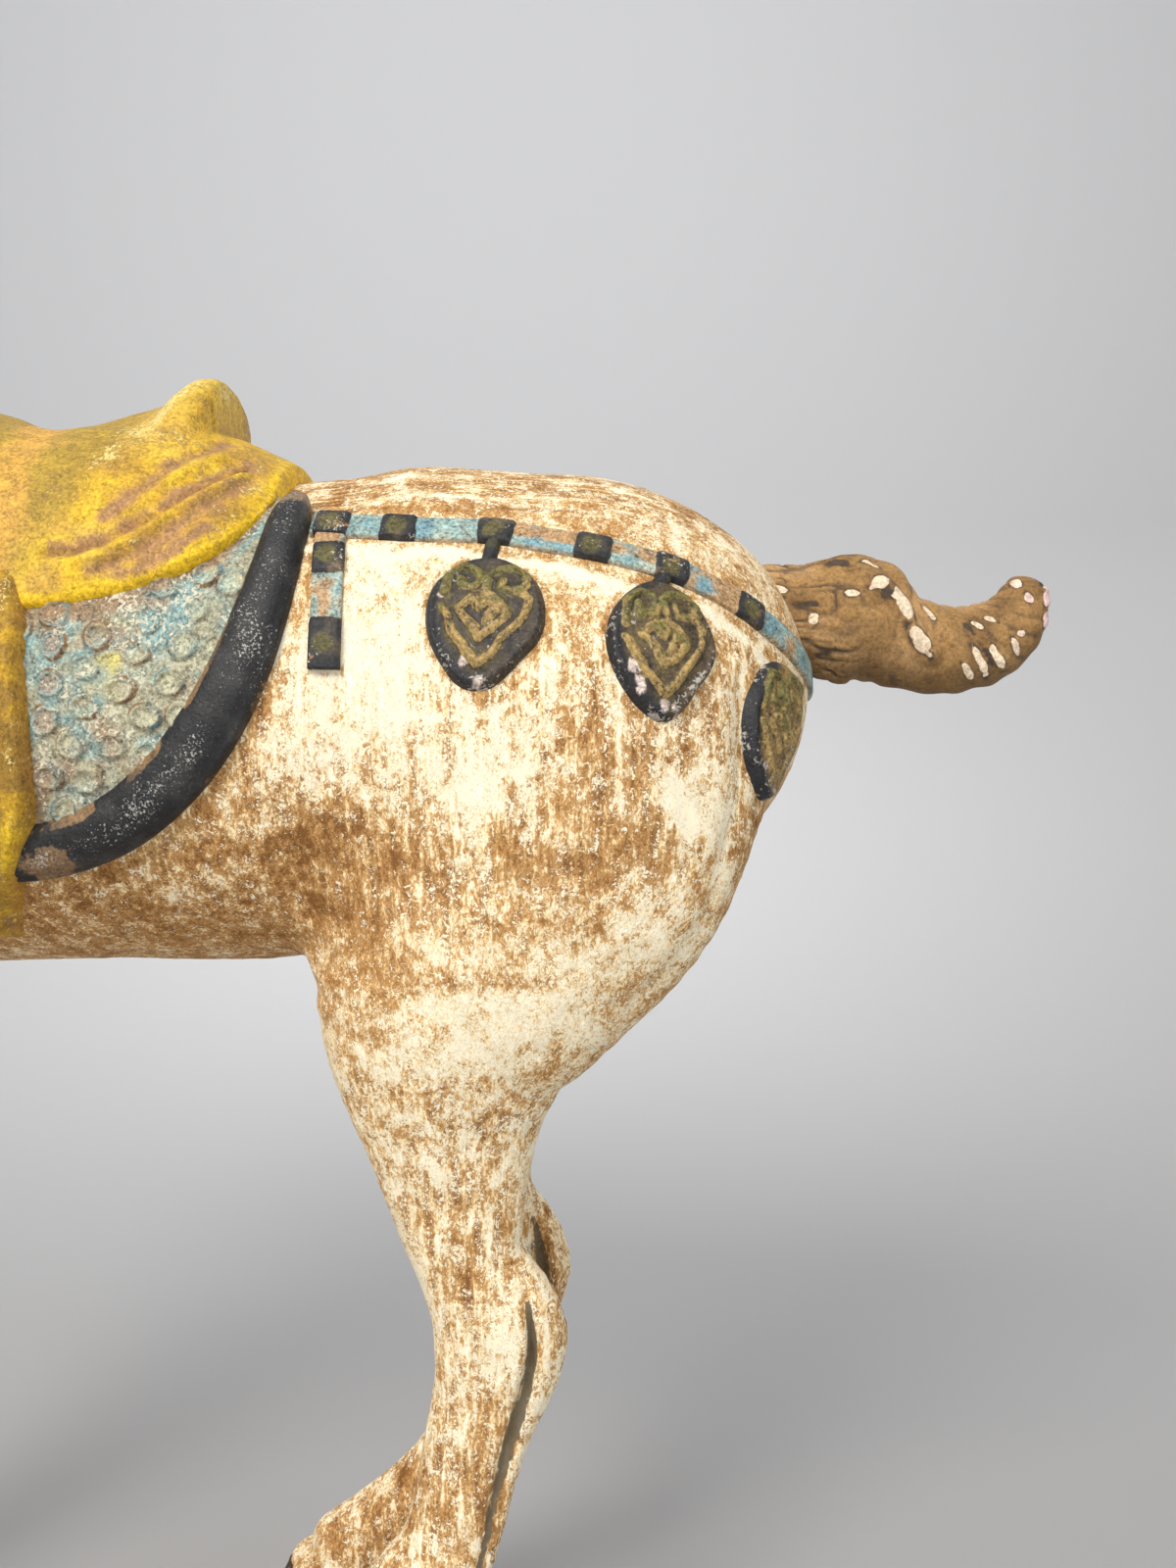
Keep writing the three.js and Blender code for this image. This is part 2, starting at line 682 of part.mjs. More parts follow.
// The fall of cloth that hangs from the gather, on the left side
function fallSolid() {
  const layer = (liftOf) =>
    Array.from({ length: FALL.rows }, (unusedRow, r) =>
      Array.from({ length: FALL.columns }, (unusedColumn, c) => {
        const z = MathUtils.lerp(FALL.top, FALL.foot, r / (FALL.rows - 1));
        const across = (2 * c) / (FALL.columns - 1) - 1;
        const spot = leftSkin(FALL.x + FALL.halfWidth * across, z);
        spot.y -= liftOf(Math.abs(across));
        return spot;
      }),
    );
  return skin(layer((across) => (across < 1 ? FALL.thick : FALL.edgeThick)), layer(() => -SINK));
}

// The bare horse's mesh: its grid is close where the limbs are thin, and wide over the barrel
function bodySolid() {
  const stepX = (x) => (x < -160 ? 12 : x < -60 ? 17 : x < 120 ? 26 : x < 290 ? 19 : 14);
  const stepY = (y) => (y < 22 ? 15 : y < 52 ? 10.5 : 18);
  const stepZ = (z) => (z < 60 ? 10.5 : z < 240 ? 18 : z < 320 ? 17 : z < 480 ? 24 : z < 560 ? 19 : 13);
  const xs = gridLines(-304, 350, stepX);
  const zs = gridLines(-6, 750, stepZ);
  const half = gridLines(8, 110, stepY);
  const ys = [...half.toReversed().map((y) => -y), ...half];
  return solid(settled(meshField(bareHorse, xs, ys, zs)));
}

function horseSolid() {
  const onTheLeft = [
    rollSolid(),
    fallSolid(),
    strapAlong(smoothRoute(HANGING_STRAP), STRAP),
    limbTube(EAR, 5, 7),
    ...SIDE_PENDANTS.map(pendant),
  ];
  const inTheMiddle = [
    saddleSolid(),
    tailSolid(),
    maneSolid(),
    strapAlong(overBothSides(smoothRoute(CRUPPER)), STRAP),
    strapAlong(overBothSides(smoothRoute(BREAST_STRAP)), STRAP),
    pendant(CHEST_PENDANT),
  ];
  let made = bodySolid();
  for (const part of onTheLeft) made = made.add(part).add(part.mirror([0, 1, 0]));
  for (const part of inTheMiddle) made = made.add(part);
  const ground = new THREE.BoxGeometry(900, 400, 60).translate(60, 0, GROUND - 30);
  return made.subtract(solid(ground));
}

function plinthGeometry() {
  const { length, width, height, corner, chamfer, cornerSteps } = PLINTH;
  const radius = corner - chamfer;
  const [x, y] = [length / 2 - chamfer - radius, width / 2 - chamfer - radius];
  const outline = new THREE.Shape();
  outline.absarc(x, -y, radius, -Math.PI / 2, 0);
  outline.absarc(x, y, radius, 0, Math.PI / 2);
  outline.absarc(-x, y, radius, Math.PI / 2, Math.PI);
  outline.absarc(-x, -y, radius, Math.PI, 1.5 * Math.PI);
  const slab = new THREE.ExtrudeGeometry(outline, {
    depth: height - 2 * chamfer,
    bevelThickness: chamfer,
    bevelSize: chamfer,
    bevelSegments: 1,
    curveSegments: cornerSteps,
  });
  return slab.translate(0, 0, chamfer);
}

// A sub-part: a named mesh with the colour and roughness of its fired, painted clay
function subPart(name, geometry, color, roughness) {
  const mesh = new THREE.Mesh(geometry, new THREE.MeshStandardMaterial({ color, roughness, metalness: 0 }));
  mesh.name = name;
  return mesh;
}

const figure = new THREE.Group();
figure.add(subPart("horse", geometryOf(horseSolid()), 0xd8bd93, 0.9));
figure.add(subPart("plinth", plinthGeometry(), 0xa9794a, 0.95));
export default figure;
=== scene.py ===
"""The looks of the terracotta horse: cold-painted slip, much worn, over fired clay.

Sizes are in millimetres in the part's own frame (the horse faces -X, its left side faces -Y),
and are turned into metres where a mesh is made. The horse's forms repeat the sizes of the
part's source, apart from the ends of the seat, the arches under the cloth, the width of the
fall and the tail's tip, which follow the photo by a few millimetres more closely. This script
adds the finer relief and the paint.
"""
import math
from functools import partial

import bpy
import numpy as np
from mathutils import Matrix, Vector


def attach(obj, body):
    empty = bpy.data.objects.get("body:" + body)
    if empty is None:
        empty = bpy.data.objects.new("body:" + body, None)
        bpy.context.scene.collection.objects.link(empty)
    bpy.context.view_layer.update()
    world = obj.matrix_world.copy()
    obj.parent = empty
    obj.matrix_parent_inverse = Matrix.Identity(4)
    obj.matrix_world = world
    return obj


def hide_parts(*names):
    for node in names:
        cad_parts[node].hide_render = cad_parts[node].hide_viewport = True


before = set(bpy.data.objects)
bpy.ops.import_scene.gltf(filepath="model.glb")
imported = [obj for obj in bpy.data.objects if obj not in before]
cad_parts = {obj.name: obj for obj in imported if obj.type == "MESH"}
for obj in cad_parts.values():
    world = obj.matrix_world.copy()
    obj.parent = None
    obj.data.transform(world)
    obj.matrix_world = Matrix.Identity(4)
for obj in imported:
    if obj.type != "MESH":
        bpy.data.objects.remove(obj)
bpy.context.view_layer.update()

MM = 0.001
# The plane where the hooves are cut off, just inside the plinth
GROUND = 17.0
# How deep the undersides of bands and pendants lie in the skin
SINK = 3

# The driving sizes, as in the part's source. A limb has the lengths of its two caps, and then its
# stations: x, z, y, deep, wide.
PLINTH = dict(length=372, width=160, height=18, edge=2.5, corner=12)
TORSO = (
    (44, 101.5),
    (-142, 428, 0, 66, 56), (-112, 417, 0, 88, 73), (-80, 414, 0, 96, 82),
    (-20, 411, 0, 94, 87), (45, 411, 0, 93, 88), (105, 414, 0, 96, 86),
    (160, 421, 0, 94, 84), (222, 424, 0, 87.5, 82),
)
NECK = (
    (50, 24),
    (-88, 430, 0, 76, 60), (-118, 482, 0, 74, 50), (-143, 530, 0, 60, 39),
    (-159, 578, 0, 47, 31), (-171, 625, 0, 39, 26), (-183, 664, 0, 33, 24),
)
HEAD = (
    (26, 12),
    (-186, 677, 0, 29, 25), (-203, 654, 0, 34, 28), (-224, 628, 0, 28, 23),
    (-246, 601, 0, 21.5, 17), (-262, 582, 0, 20, 17.5), (-270, 572, 0, 17, 15.5),
)
HIND_LEG = (
    (40, 12),
    (222, 418, 42, 66, 40), (219, 375, 43, 76, 40), (200, 333, 43, 63.5, 37),
    (185.5, 306, 42, 53.5, 32), (182.5, 281, 41, 43, 25.5), (183, 262, 40, 35, 20),
    (184.5, 244, 39.5, 29, 16.5), (187, 225, 39, 24, 14.5), (191, 207, 38.5, 20.5, 13.5),
    (198.5, 191, 38.5, 23.5, 14), (202, 179, 38, 25.5, 14.5), (199, 162, 38, 22.5, 13),
    (194.5, 148, 38, 20, 12), (189.5, 128, 38, 18.5, 11.5), (183.5, 104, 38, 18, 11.5),
    (173, 84, 38, 20.5, 13.5), (151, 68, 38, 17.5, 12.5), (130, 52, 38, 18.5, 15),
)
FORE_LEG = (
    (40, 12),
    (-112, 425, 40, 52, 36), (-118, 378, 43, 46, 33), (-122, 338, 43, 38, 28),
    (-124, 300, 42, 29, 22), (-124, 258, 40, 22, 17.5), (-124, 222, 39, 19, 15.5),
    (-127, 195, 38.5, 20.5, 16.5), (-127, 176, 38.5, 19, 15.5), (-123, 146, 38, 15.5, 12),
    (-121, 112, 38, 15.5, 11.5), (-123, 88, 38, 19, 13.5), (-138, 68, 38, 15.5, 12.5),
    (-154, 51, 38, 17, 14.5),
)
HOOF = dict(top=50, sole=12, lean=10, top_deep=20, top_wide=16.5, sole_deep=30, sole_wide=23)
HIND_HOOF = (125, 38)
FORE_HOOF = (-151, 38)
BLEND = dict(neck=34, thigh=26, shoulder=30, head=16, hoof=3)
EAR = (
    (4, 3),
    (-178, 694, 12, 9, 9), (-177, 712, 16, 10, 7.5), (-175, 726, 19, 7.5, 5.5),
    (-176, 738, 20, 3, 2.6),
)
TAIL = (
    (4, 5),
    (284, 452, 0, 22, 17), (302, 453.5, 0, 24, 18), (320, 454.5, 0, 22.5, 16.5),
    (338, 454.5, 0, 26, 18.5), (350, 454, 0, 25, 18.5), (362, 446.5, 0, 19.5, 16),
    (382, 442.5, 0, 17.5, 14.5), (399, 446.5, 0, 16, 13), (409, 455.5, 0, 13, 11.5),
    (414, 467, 0, 9.5, 8.5),
)
MANE = (
    (6, 6),
    (-58, 505, 0, 12, 8), (-84, 545, 0, 17, 9), (-104, 590, 0, 16, 8), (-122, 632, 0, 16, 8),
    (-141, 674, 0, 15, 8), (-160, 700, 0, 13, 8), (-186, 710, 0, 12, 8),
    (-206, 695, 0, 8, 9),
)
SADDLE = dict(centre=29)
SADDLE_SEAT = (
    (38, 38),
    (-36, 455, 0, 65, 82), (-20, 457, 0, 71, 82), (2, 455, 0, 76, 84), (29, 449, 0, 79, 86),
    (56, 455, 0, 76, 84), (78, 457, 0, 71, 82), (94, 455, 0, 65, 82),
)
ARCH = dict(rise=500, radius=42.3, lean=8)
COVER = dict(half_length=93, edge_ends=498, edge_drop=51, thick=4, axis=430)
FALL = dict(x=23, half_width=20, thick=9, top=456, foot=331)
RUG = dict(half_length=100, top=502, foot=364, power=2.2, thick=2.6)
ROLL = dict(width=22, end_width=13.5, taper=0.25, thick=7)
STRAP = dict(width=11, thick=2.2)
CRUPPER = [
    (137, -64, 480), (170, -68, 479), (203, -68, 478), (237, -69, 471), (265, -65, 464),
    (283, -59, 457), (300, -48, 447), (310, -32, 438), (317, -14, 430), (319, 0, 427),
]
HANGING_STRAP = [(144, -66, 476), (145, -80, 449), (145, -85, 427)]
BREAST_STRAP = [
    (-68, -68, 478), (-88, -72, 468), (-116, -74, 452), (-142, -68, 440), (-165, -52, 431),
    (-182, -27, 425), (-188, 0, 422),
]
PENDANT = dict(width=41.5, height=53, power=1.7, thick=4.5, rim=3.2)
SIDE_PENDANTS = [
    (200, -83, 444), (261, -79, 435), (304, -49, 408), (-112, -78, 420), (-158, -58, 402),
]
CHEST_PENDANT = (-189, 0, 388)


# Curves, noise and fields

def curve_points(points, shares):
    """Points on a smooth curve through the given ones (centripetal, as the part's source has)."""
    points = np.asarray(points, float)
    last = len(points) - 1
    padded = np.vstack([2 * points[0] - points[1], points, 2 * points[-1] - points[-2]])
    span = np.clip(np.floor(np.asarray(shares) * last).astype(int), 0, last - 1)
    t = (np.asarray(shares) * last - span)[:, None]
    p0, p1, p2, p3 = (padded[span + i] for i in range(4))
    d0, d1, d2 = (
        np.sqrt(np.linalg.norm(b - a, axis=1))[:, None] for a, b in ((p0, p1), (p1, p2), (p2, p3))
    )
    d1 = np.where(d1 < 1e-4, 1.0, d1)
    d0, d2 = np.where(d0 < 1e-4, d1, d0), np.where(d2 < 1e-4, d1, d2)
    start = ((p1 - p0) / d0 - (p2 - p0) / (d0 + d1) + (p2 - p1) / d1) * d1
    end = ((p2 - p1) / d1 - (p3 - p1) / (d1 + d2) + (p3 - p2) / d2) * d1
    rest = (2 * p1 - 2 * p2 + start + end) * t**3 + (-3 * p1 + 3 * p2 - 2 * start - end) * t**2
    return p1 + start * t + rest


def lengths_along(points):
    """How far along a line of points each of them is."""
    return np.concatenate([[0], np.cumsum(np.linalg.norm(np.diff(points, axis=0), axis=1))])


def evenly(points, spacing):
    """A smooth curve through the points, in steps of about the spacing."""
    fine = curve_points(points, np.linspace(0, 1, 40 * len(points)))
    far = lengths_along(fine)
    marks = np.linspace(0, far[-1], max(2, round(far[-1] / spacing)) + 1)
    return np.stack([np.interp(marks, far, fine[:, i]) for i in range(fine.shape[1])], axis=1)


def grid(*lines):
    """Every combination of the lines' values: a flat array for each line."""
    return [g.ravel() for g in np.meshgrid(*lines, indexing="ij")]


def smoothstep(value, low, high):
    """0 at low, 1 at high, and smooth between them."""
    t = np.clip((value - low) / (high - low), 0, 1)
    return t * t * (3 - 2 * t)


def hashed(ix, iy, iz, seed):
    """A fixed random number from 0 to 1 for each whole-number place."""
    primes = np.array([374761393, 668265263, 2246822519, 3266489917], np.uint32)
    n = ix.astype(np.uint32) * primes[0] + iy.astype(np.uint32) * primes[1]
    n = n + iz.astype(np.uint32) * primes[2] + np.uint32(seed * 3266489917 % 2**32)
    n = (n ^ (n >> np.uint32(15))) * primes[2]
    n = (n ^ (n >> np.uint32(13))) * primes[3]
    return (n ^ (n >> np.uint32(16))) / 2.0**32


def noise(p, size, seed=0):
    """Smooth noise from -1 to 1 at points, in lumps of the given size (one, or one per axis)."""
    q = p / np.asarray(size, float)
    cell = np.floor(q)
    t = q - cell
    t = t * t * (3 - 2 * t)
    cell = cell.astype(int)
    total = 0
    for corner in range(8):
        bits = np.array([corner & 1, corner >> 1 & 1, corner >> 2 & 1])
        weight = np.prod(np.where(bits, t, 1 - t), axis=1)
        total = total + weight * hashed(*(cell + bits).T, seed)
    return 2 * total - 1


def noises(p, *layers):
    """Noise in layers, each of an amount, a size of lumps and a seed."""
    return sum(amount * noise(p, size, seed) for amount, size, seed in layers)


def patches(p, size, seed, low, high):
    """Patches of noise: 0 where it is below low, 1 above high, and smooth between them."""
    return smoothstep(noise(p, size, seed), low, high)


def blend(a, b, size):
    """Smooth minimum: a fillet of about the given size where two fields meet."""
    h = np.maximum(size - np.abs(a - b), 0) / size
    return np.minimum(a, b) - h * h * size * 0.25


def carve(a, b, size):
    """Field a with b taken out, its edges rounded a little."""
    return -blend(-a, b, size)


def sampled(limb, spacing=7):
    """A limb's stations, closer together: rows of x, y, z, deep, wide."""
    caps, *stations = limb
    s = np.array(stations, float)
    lengths = np.hypot(*np.diff(s[:, :2], axis=0).T)
    shares = []
    for i, length in enumerate(lengths):
        steps = max(1, round(length / spacing))
        shares += [(i + k / steps) / len(lengths) for k in range(steps)]
    shares.append(1)
    spine = curve_points(s[:, [0, 2, 1]], shares)
    return np.hstack([spine, curve_points(s[:, 3:], shares)]), caps


def limb_field(limb, x, y, z):
    """Distance, near enough, to a limb with elliptical sections; below zero inside."""
    rows, caps = limb
    nearest = np.full(x.shape, np.inf)
    for i in range(len(rows) - 1):
        a, b = rows[i], rows[i + 1]
        ux, uy, uz = b[:3] - a[:3]
        px, py, pz = x - a[0], y - a[1], z - a[2]
        t = np.clip((px * ux + py * uy + pz * uz) / (ux * ux + uy * uy + uz * uz), 0, 1)
        qx, qy, qz = px - ux * t, py - uy * t, pz - uz * t
        deep = a[3] + (b[3] - a[3]) * t
        wide = a[4] + (b[4] - a[4]) * t
        flat = math.hypot(ux, uz)
        along = (qx * ux + qz * uz) / flat
        across = (qx * uz - qz * ux) / flat
        cap = np.minimum(deep, wide)
        if i == 0:
            cap = np.where(t == 0, caps[0], cap)
        if i == len(rows) - 2:
            cap = np.where(t == 1, caps[1], cap)
        scale = np.sqrt((across / deep) ** 2 + (qy / wide) ** 2 + (along / cap) ** 2)
        distance = np.sqrt(qx * qx + qy * qy + qz * qz)
        safe = np.maximum(scale, 1e-6)
        field = np.where(scale < 1e-6, -np.minimum(deep, wide), distance - distance / safe)
        np.minimum(nearest, field, out=nearest)
    return nearest


def hoof_field(hoof, x, y, z):
    """Distance, near enough, to a hoof: a cone that leans forward."""
    t = (HOOF["top"] - z) / (HOOF["top"] - HOOF["sole"])
    deep = HOOF["top_deep"] + (HOOF["sole_deep"] - HOOF["top_deep"]) * t
    wide = HOOF["top_wide"] + (HOOF["sole_wide"] - HOOF["top_wide"]) * t
    qx, qy = x - hoof[0] + HOOF["lean"] * t, y - hoof[1]
    distance = np.maximum(np.hypot(qx, qy), 1e-6)
    scale = np.maximum(np.hypot(qx / deep, qy / wide), 1e-6)
    side = distance - distance / scale
    return np.maximum(np.maximum(side, z - HOOF["top"] - 4), HOOF["sole"] - z)


def ball(form, x, y, z, grow=1):
    """Distance, near enough, to an ellipsoid."""
    radii = grow * np.array(form["radii"])
    q = (np.stack([x, y, z]) - np.array(form["centre"])[:, None]) / radii[:, None]
    return (np.sqrt((q**2).sum(0)) - 1) * radii.min()


# The channel between cannon bone and tendon on the hind legs, on both faces of each: the middle
# of the leg's side, and half its width. It is a limb cut out of the leg's skin.
LEG_CHANNEL = (
    (6, 6),
    (212, 199, 0, 0.8, 4.5), (214, 188, 0, 1.6, 6), (214.3, 176, 0, 2.3, 7),
    (211.3, 161, 0, 3.1, 8), (207, 145, 0, 3.7, 8.5), (203.6, 132, 0, 3.6, 8.5),
    (200.6, 122, 0, 3.1, 8), (198.3, 109, 0, 2.9, 7.5), (195, 97, 0, 2.3, 7),
    (190, 86, 0, 0.8, 4),
)
FORE_CHANNEL = (
    (6, 6),
    (-116, 168, 0, 0.8, 4), (-114, 152, 0, 2, 6), (-112.5, 130, 0, 2.6, 7),
    (-111.5, 112, 0, 2, 6), (-111, 98, 0, 0.8, 4),
)
# How far a channel is from the middle of its leg, which is that far from the horse's middle
CHANNEL_OFFSET = 13.5
LEG_OFFSET = 38
# How much wider the hind channel is near the hock on a leg's inner side
INNER_GROWTH = 3.2
EYE = dict(centre=(-222, 23, 656), radii=(9, 6.5, 7.5))
SOCKET = dict(centre=(-221, 30, 656), radii=(15, 8, 12))
NOSTRIL = dict(centre=(-270, 16, 588), radii=(6, 7, 4.5))
NOSTRIL_RIM = dict(centre=(-268, 13.5, 587), radii=(10, 6.5, 8.5))
EAR_HOLLOW = dict(centre=(-186, 21, 718), radii=(8, 6.5, 15))
CHEEK = dict(centre=(-193, 19, 643), radii=(21, 9.5, 22))
MOUTH = (
    (4, 3),
    (-254, 573.5, 0, 0.8, 30), (-268, 565.5, 0, 1.7, 30), (-288, 557, 0, 2.6, 30),
)

torso, neck, head = sampled(TORSO), sampled(NECK), sampled(HEAD)
hind_leg, fore_leg, ear = sampled(HIND_LEG), sampled(FORE_LEG), sampled(EAR)
seat, mouth = sampled(SADDLE_SEAT), sampled(MOUTH)
leg_channel, fore_channel = sampled(LEG_CHANNEL), sampled(FORE_CHANNEL)


def channel_field(channel, x, y, z):
    """Distance, near enough, to the channels on both sides of a leg."""
    inner = (y < LEG_OFFSET) * smoothstep(z, 160, 178) * (1 - smoothstep(z, 196, 210))
    return limb_field(channel, x, np.abs(y - LEG_OFFSET) - CHANNEL_OFFSET, z) - INNER_GROWTH * inner


def body_field(x, y, z):
    """The bare horse with its channels, eyes, nostrils, mouth and ears; y is its distance from
    the middle plane. Each step changes the field in one region alone."""
    upper = (x < -120) & (z > 480)
    ears = upper & (z > 670)
    steps = [
        (x > 60, blend, partial(limb_field, hind_leg), BLEND["thigh"]),
        (x < 0, blend, partial(limb_field, fore_leg), BLEND["shoulder"]),
        (upper, blend, partial(limb_field, head), BLEND["head"]),
        ((z < 80) & (x > 0), blend, partial(hoof_field, HIND_HOOF), BLEND["hoof"]),
        ((z < 80) & (x < 0), blend, partial(hoof_field, FORE_HOOF), BLEND["hoof"]),
        ((x > 150) & (z < 230) & (z > 60), carve, partial(channel_field, leg_channel), 1.2),
        ((x < 0) & (x > -140) & (z < 190) & (z > 80), carve, partial(channel_field, fore_channel), 1.2),
        (upper, blend, partial(ball, CHEEK), 7),
        (upper, carve, partial(ball, SOCKET), 5),
        (upper, blend, partial(ball, EYE), 2),
        (upper, blend, partial(ball, NOSTRIL_RIM), 6),
        (upper, carve, partial(ball, NOSTRIL), 2),
        (upper, carve, partial(limb_field, mouth), 1),
        (ears, blend, partial(limb_field, ear), 5),
        (ears, carve, partial(ball, EAR_HOLLOW), 2),
    ]
    d = blend(limb_field(torso, x, y, z), limb_field(neck, x, y, z), BLEND["neck"])
    for region, join, field, size in steps:
        d[region] = join(d[region], field(x[region], y[region], z[region]), size)
    return np.maximum(d, GROUND - z)


# A place to the left of the whole horse, where looks from the left start
LEFT_OF_ALL = -112.0


class Volume:
    """A field kept as its values on a grid of straight lines."""

    def __init__(self, lines, values):
        self.lines = lines
        self.values = values

    def at(self, p):
        """The field at points, from the values around each."""
        cells, shares = [], []
        for line, q in zip(self.lines, p.T):
            i = np.clip(np.searchsorted(line, q) - 1, 0, len(line) - 2)
            cells.append(i)
            shares.append(np.clip((q - line[i]) / (line[i + 1] - line[i]), 0, 1))
        total = 0
        for corner in range(8):
            bits = [corner & 1, corner >> 1 & 1, corner >> 2 & 1]
            weight = np.prod([s if bit else 1 - s for s, bit in zip(shares, bits)], axis=0)
            total = total + weight * self.values[tuple(i + bit for i, bit in zip(cells, bits))]
        return total

    def slope(self, p, step=1.5):
        """The way up the field at points."""
        shifts = step * np.eye(3)
        return np.stack([(self.at(p + s) - self.at(p - s)) / (2 * step) for s in shifts], axis=1)

    def set_down(self, points, tries=5, longest=8):
        """Points moved on to the surface, and the way out of it at each."""
        p = np.array(points, float)
        for _ in range(tries):
            up = self.slope(p)
            steep = (up**2).sum(1)
            move = np.clip(self.at(p) / np.maximum(0.3, steep), -longest, longest)
            p -= up * move[:, None]
        return p, up / np.sqrt(steep)[:, None]

    def left_skin(self, x, z, tries=60, caution=0.7):
        """The surface as seen from the left at x, z."""
        p = np.stack([x, np.full_like(x, LEFT_OF_ALL), z], axis=1)
        for _ in range(tries):
            p[:, 1] += caution * self.at(p)
        return p


def mirrored(lines, values):
    """The volume of the half with y from 0 up, together with its mirror image."""
    xs, ys, zs = lines
    both = np.concatenate([values[:, :0:-1], values], axis=1)
    return Volume([xs, np.concatenate([-ys[:0:-1], ys]), zs], both)


def finer(values, axis, times=4):
    """The values on a grid with every step along one axis cut in equal parts."""
    values = np.moveaxis(values, axis, 0)
    steps = np.arange(times).reshape(-1, *[1] * (values.ndim - 1)) / times
    low, high = values[:-1, None], values[1:, None]
    cut = (low + (high - low) * steps).reshape(-1, *values.shape[1:])
    return np.moveaxis(np.concatenate([cut, values[-1:]]), 0, axis)


def body_volume(step, near=13.0, times=4):
    """The bare horse on a grid: exact near its surface, and roughly elsewhere."""
    def line(start, end, spacing):
        parts = times * math.ceil((end - start) / spacing / times)
        return np.linspace(start, end, parts + 1)

    xs, ys, zs = line(-300, 352, step), line(0, 106, step), line(8, 750, step)
    coarse_lines = [a[::times] for a in (xs, ys, zs)]
    coarse = body_field(*grid(*coarse_lines)).reshape([len(a) for a in coarse_lines])
    values = coarse
    for axis in range(3):
        values = finer(values, axis, times)
    corners = np.abs(coarse)
    for axis in range(3):
        a = np.moveaxis(corners, axis, 0)
        corners = np.moveaxis(np.minimum(a[:-1], a[1:]), 0, axis)
    wanted = np.zeros(values.shape, bool)
    active = (corners < near).repeat(times, 0).repeat(times, 1).repeat(times, 2)
    wanted[:-1, :-1, :-1] = active
    i, j, k = np.nonzero(wanted)
    values[i, j, k] = body_field(xs[i], ys[j], zs[k])
    return mirrored([xs, ys, zs], values)


def surface_of(volume):
    """The surface of a volume as points and quads: a point in each cell that it passes through,
    and a quad round each grid edge that it crosses."""
    values = volume.values
    inside = values < 0
    counts = sum(
        inside[i : i - 1 or None, j : j - 1 or None, k : k - 1 or None].astype(np.int8)
        for i in (0, 1) for j in (0, 1) for k in (0, 1)
    )
    cells = (counts > 0) & (counts < 8)
    ids = np.full(cells.shape, -1)
    ids[cells] = np.arange(cells.sum())
    sums = np.zeros((cells.sum(), 3))
    hits = np.zeros(cells.sum())
    quads = []
    for axis in range(3):
        a, b = (np.moveaxis(np.moveaxis(values, axis, 0)[part], 0, axis)
                for part in (slice(None, -1), slice(1, None)))
        places = np.argwhere((a < 0) != (b < 0))
        va, vb = a[tuple(places.T)], b[tuple(places.T)]
        points = np.stack([line[i] for line, i in zip(volume.lines, places.T)], axis=1)
        line, i = volume.lines[axis], places[:, axis]
        points[:, axis] += (line[i + 1] - line[i]) * va / (va - vb)
        u, v = (axis + 1) % 3, (axis + 2) % 3
        around = []
        for du, dv in ((1, 1), (0, 1), (0, 0), (1, 0)):
            cell = places.copy()
            cell[:, u] -= du
            cell[:, v] -= dv
            around.append(ids[tuple(cell.T)])
            for column in range(3):
                sums[:, column] += np.bincount(around[-1], points[:, column], len(sums))
            hits += np.bincount(around[-1], minlength=len(sums))
        ring = np.stack(around, axis=1)
        quads.append(np.where((va < 0)[:, None], ring, ring[:, ::-1]))
    return sums / hits[:, None], np.concatenate(quads)


def normals_of(points, quads):
    """The way out of a mesh of quads at each of its points."""
    quads = np.asarray(quads)
    a, b, c, d = (points[quads[:, i]] for i in range(4))
    across = np.cross(c - a, d - b)
    total = np.zeros_like(points)
    for corner in range(4):
        for column in range(3):
            total[:, column] += np.bincount(quads[:, corner], across[:, column], len(points))
    return total / np.maximum(np.linalg.norm(total, axis=1), 1e-12)[:, None]


# Pieces: meshes with their colours and wear

def grid_quads(rows, columns, closed=False):
    """The quads of a grid of points, its last column joined to its first one if closed."""
    across = columns if closed else columns - 1
    r, c = grid(np.arange(rows - 1), np.arange(across))
    after = (c + 1) % columns
    corners = [r * columns + c, r * columns + after, (r + 1) * columns + after, (r + 1) * columns + c]
    return np.stack(corners, axis=1).tolist()


def tube_faces(rings, sides):
    """A tube's quads, with a face at both ends."""
    last = (rings - 1) * sides
    ends = [list(range(sides))[::-1], list(range(last, last + sides))]
    return grid_quads(rings, sides, closed=True) + ends


def flipped(faces):
    """Faces that look the other way."""
    return [face[::-1] for face in faces]


def linked(name, data):
    """An object in the scene for a mesh, a lamp or a camera."""
    made = bpy.data.objects.new(name, data)
    bpy.context.scene.collection.objects.link(made)
    return made


def piece(name, points, faces, material, attributes, node="horse", slot="painted_clay"):
    """A mesh object in the frame, smooth, with its attributes, riding on the body."""
    mesh = bpy.data.meshes.new(name)
    mesh.from_pydata(np.asarray(points) * MM, [], faces)
    for key, value in attributes.items():
        if value.ndim == 1:
            layer = mesh.attributes.new(key, "FLOAT", "POINT")
            layer.data.foreach_set("value", value.astype(np.float32))
        else:
            solid = np.hstack([value, np.ones((len(value), 1))])
            layer = mesh.attributes.new(key, "FLOAT_COLOR", "POINT")
            layer.data.foreach_set("color", solid.astype(np.float32).ravel())
    mesh.validate()
    mesh.shade_smooth()
    mesh.materials.append(material)
    made = linked(name, mesh)
    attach(made, "root")
    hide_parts(node)


def pair(name, points, faces, material, attributes):
    """A piece on the left side, and its mirror image on the right."""
    piece(f"{name}_left", points, faces, material, attributes)
    piece(f"{name}_right", points * [1, -1, 1], flipped(faces), material, attributes)


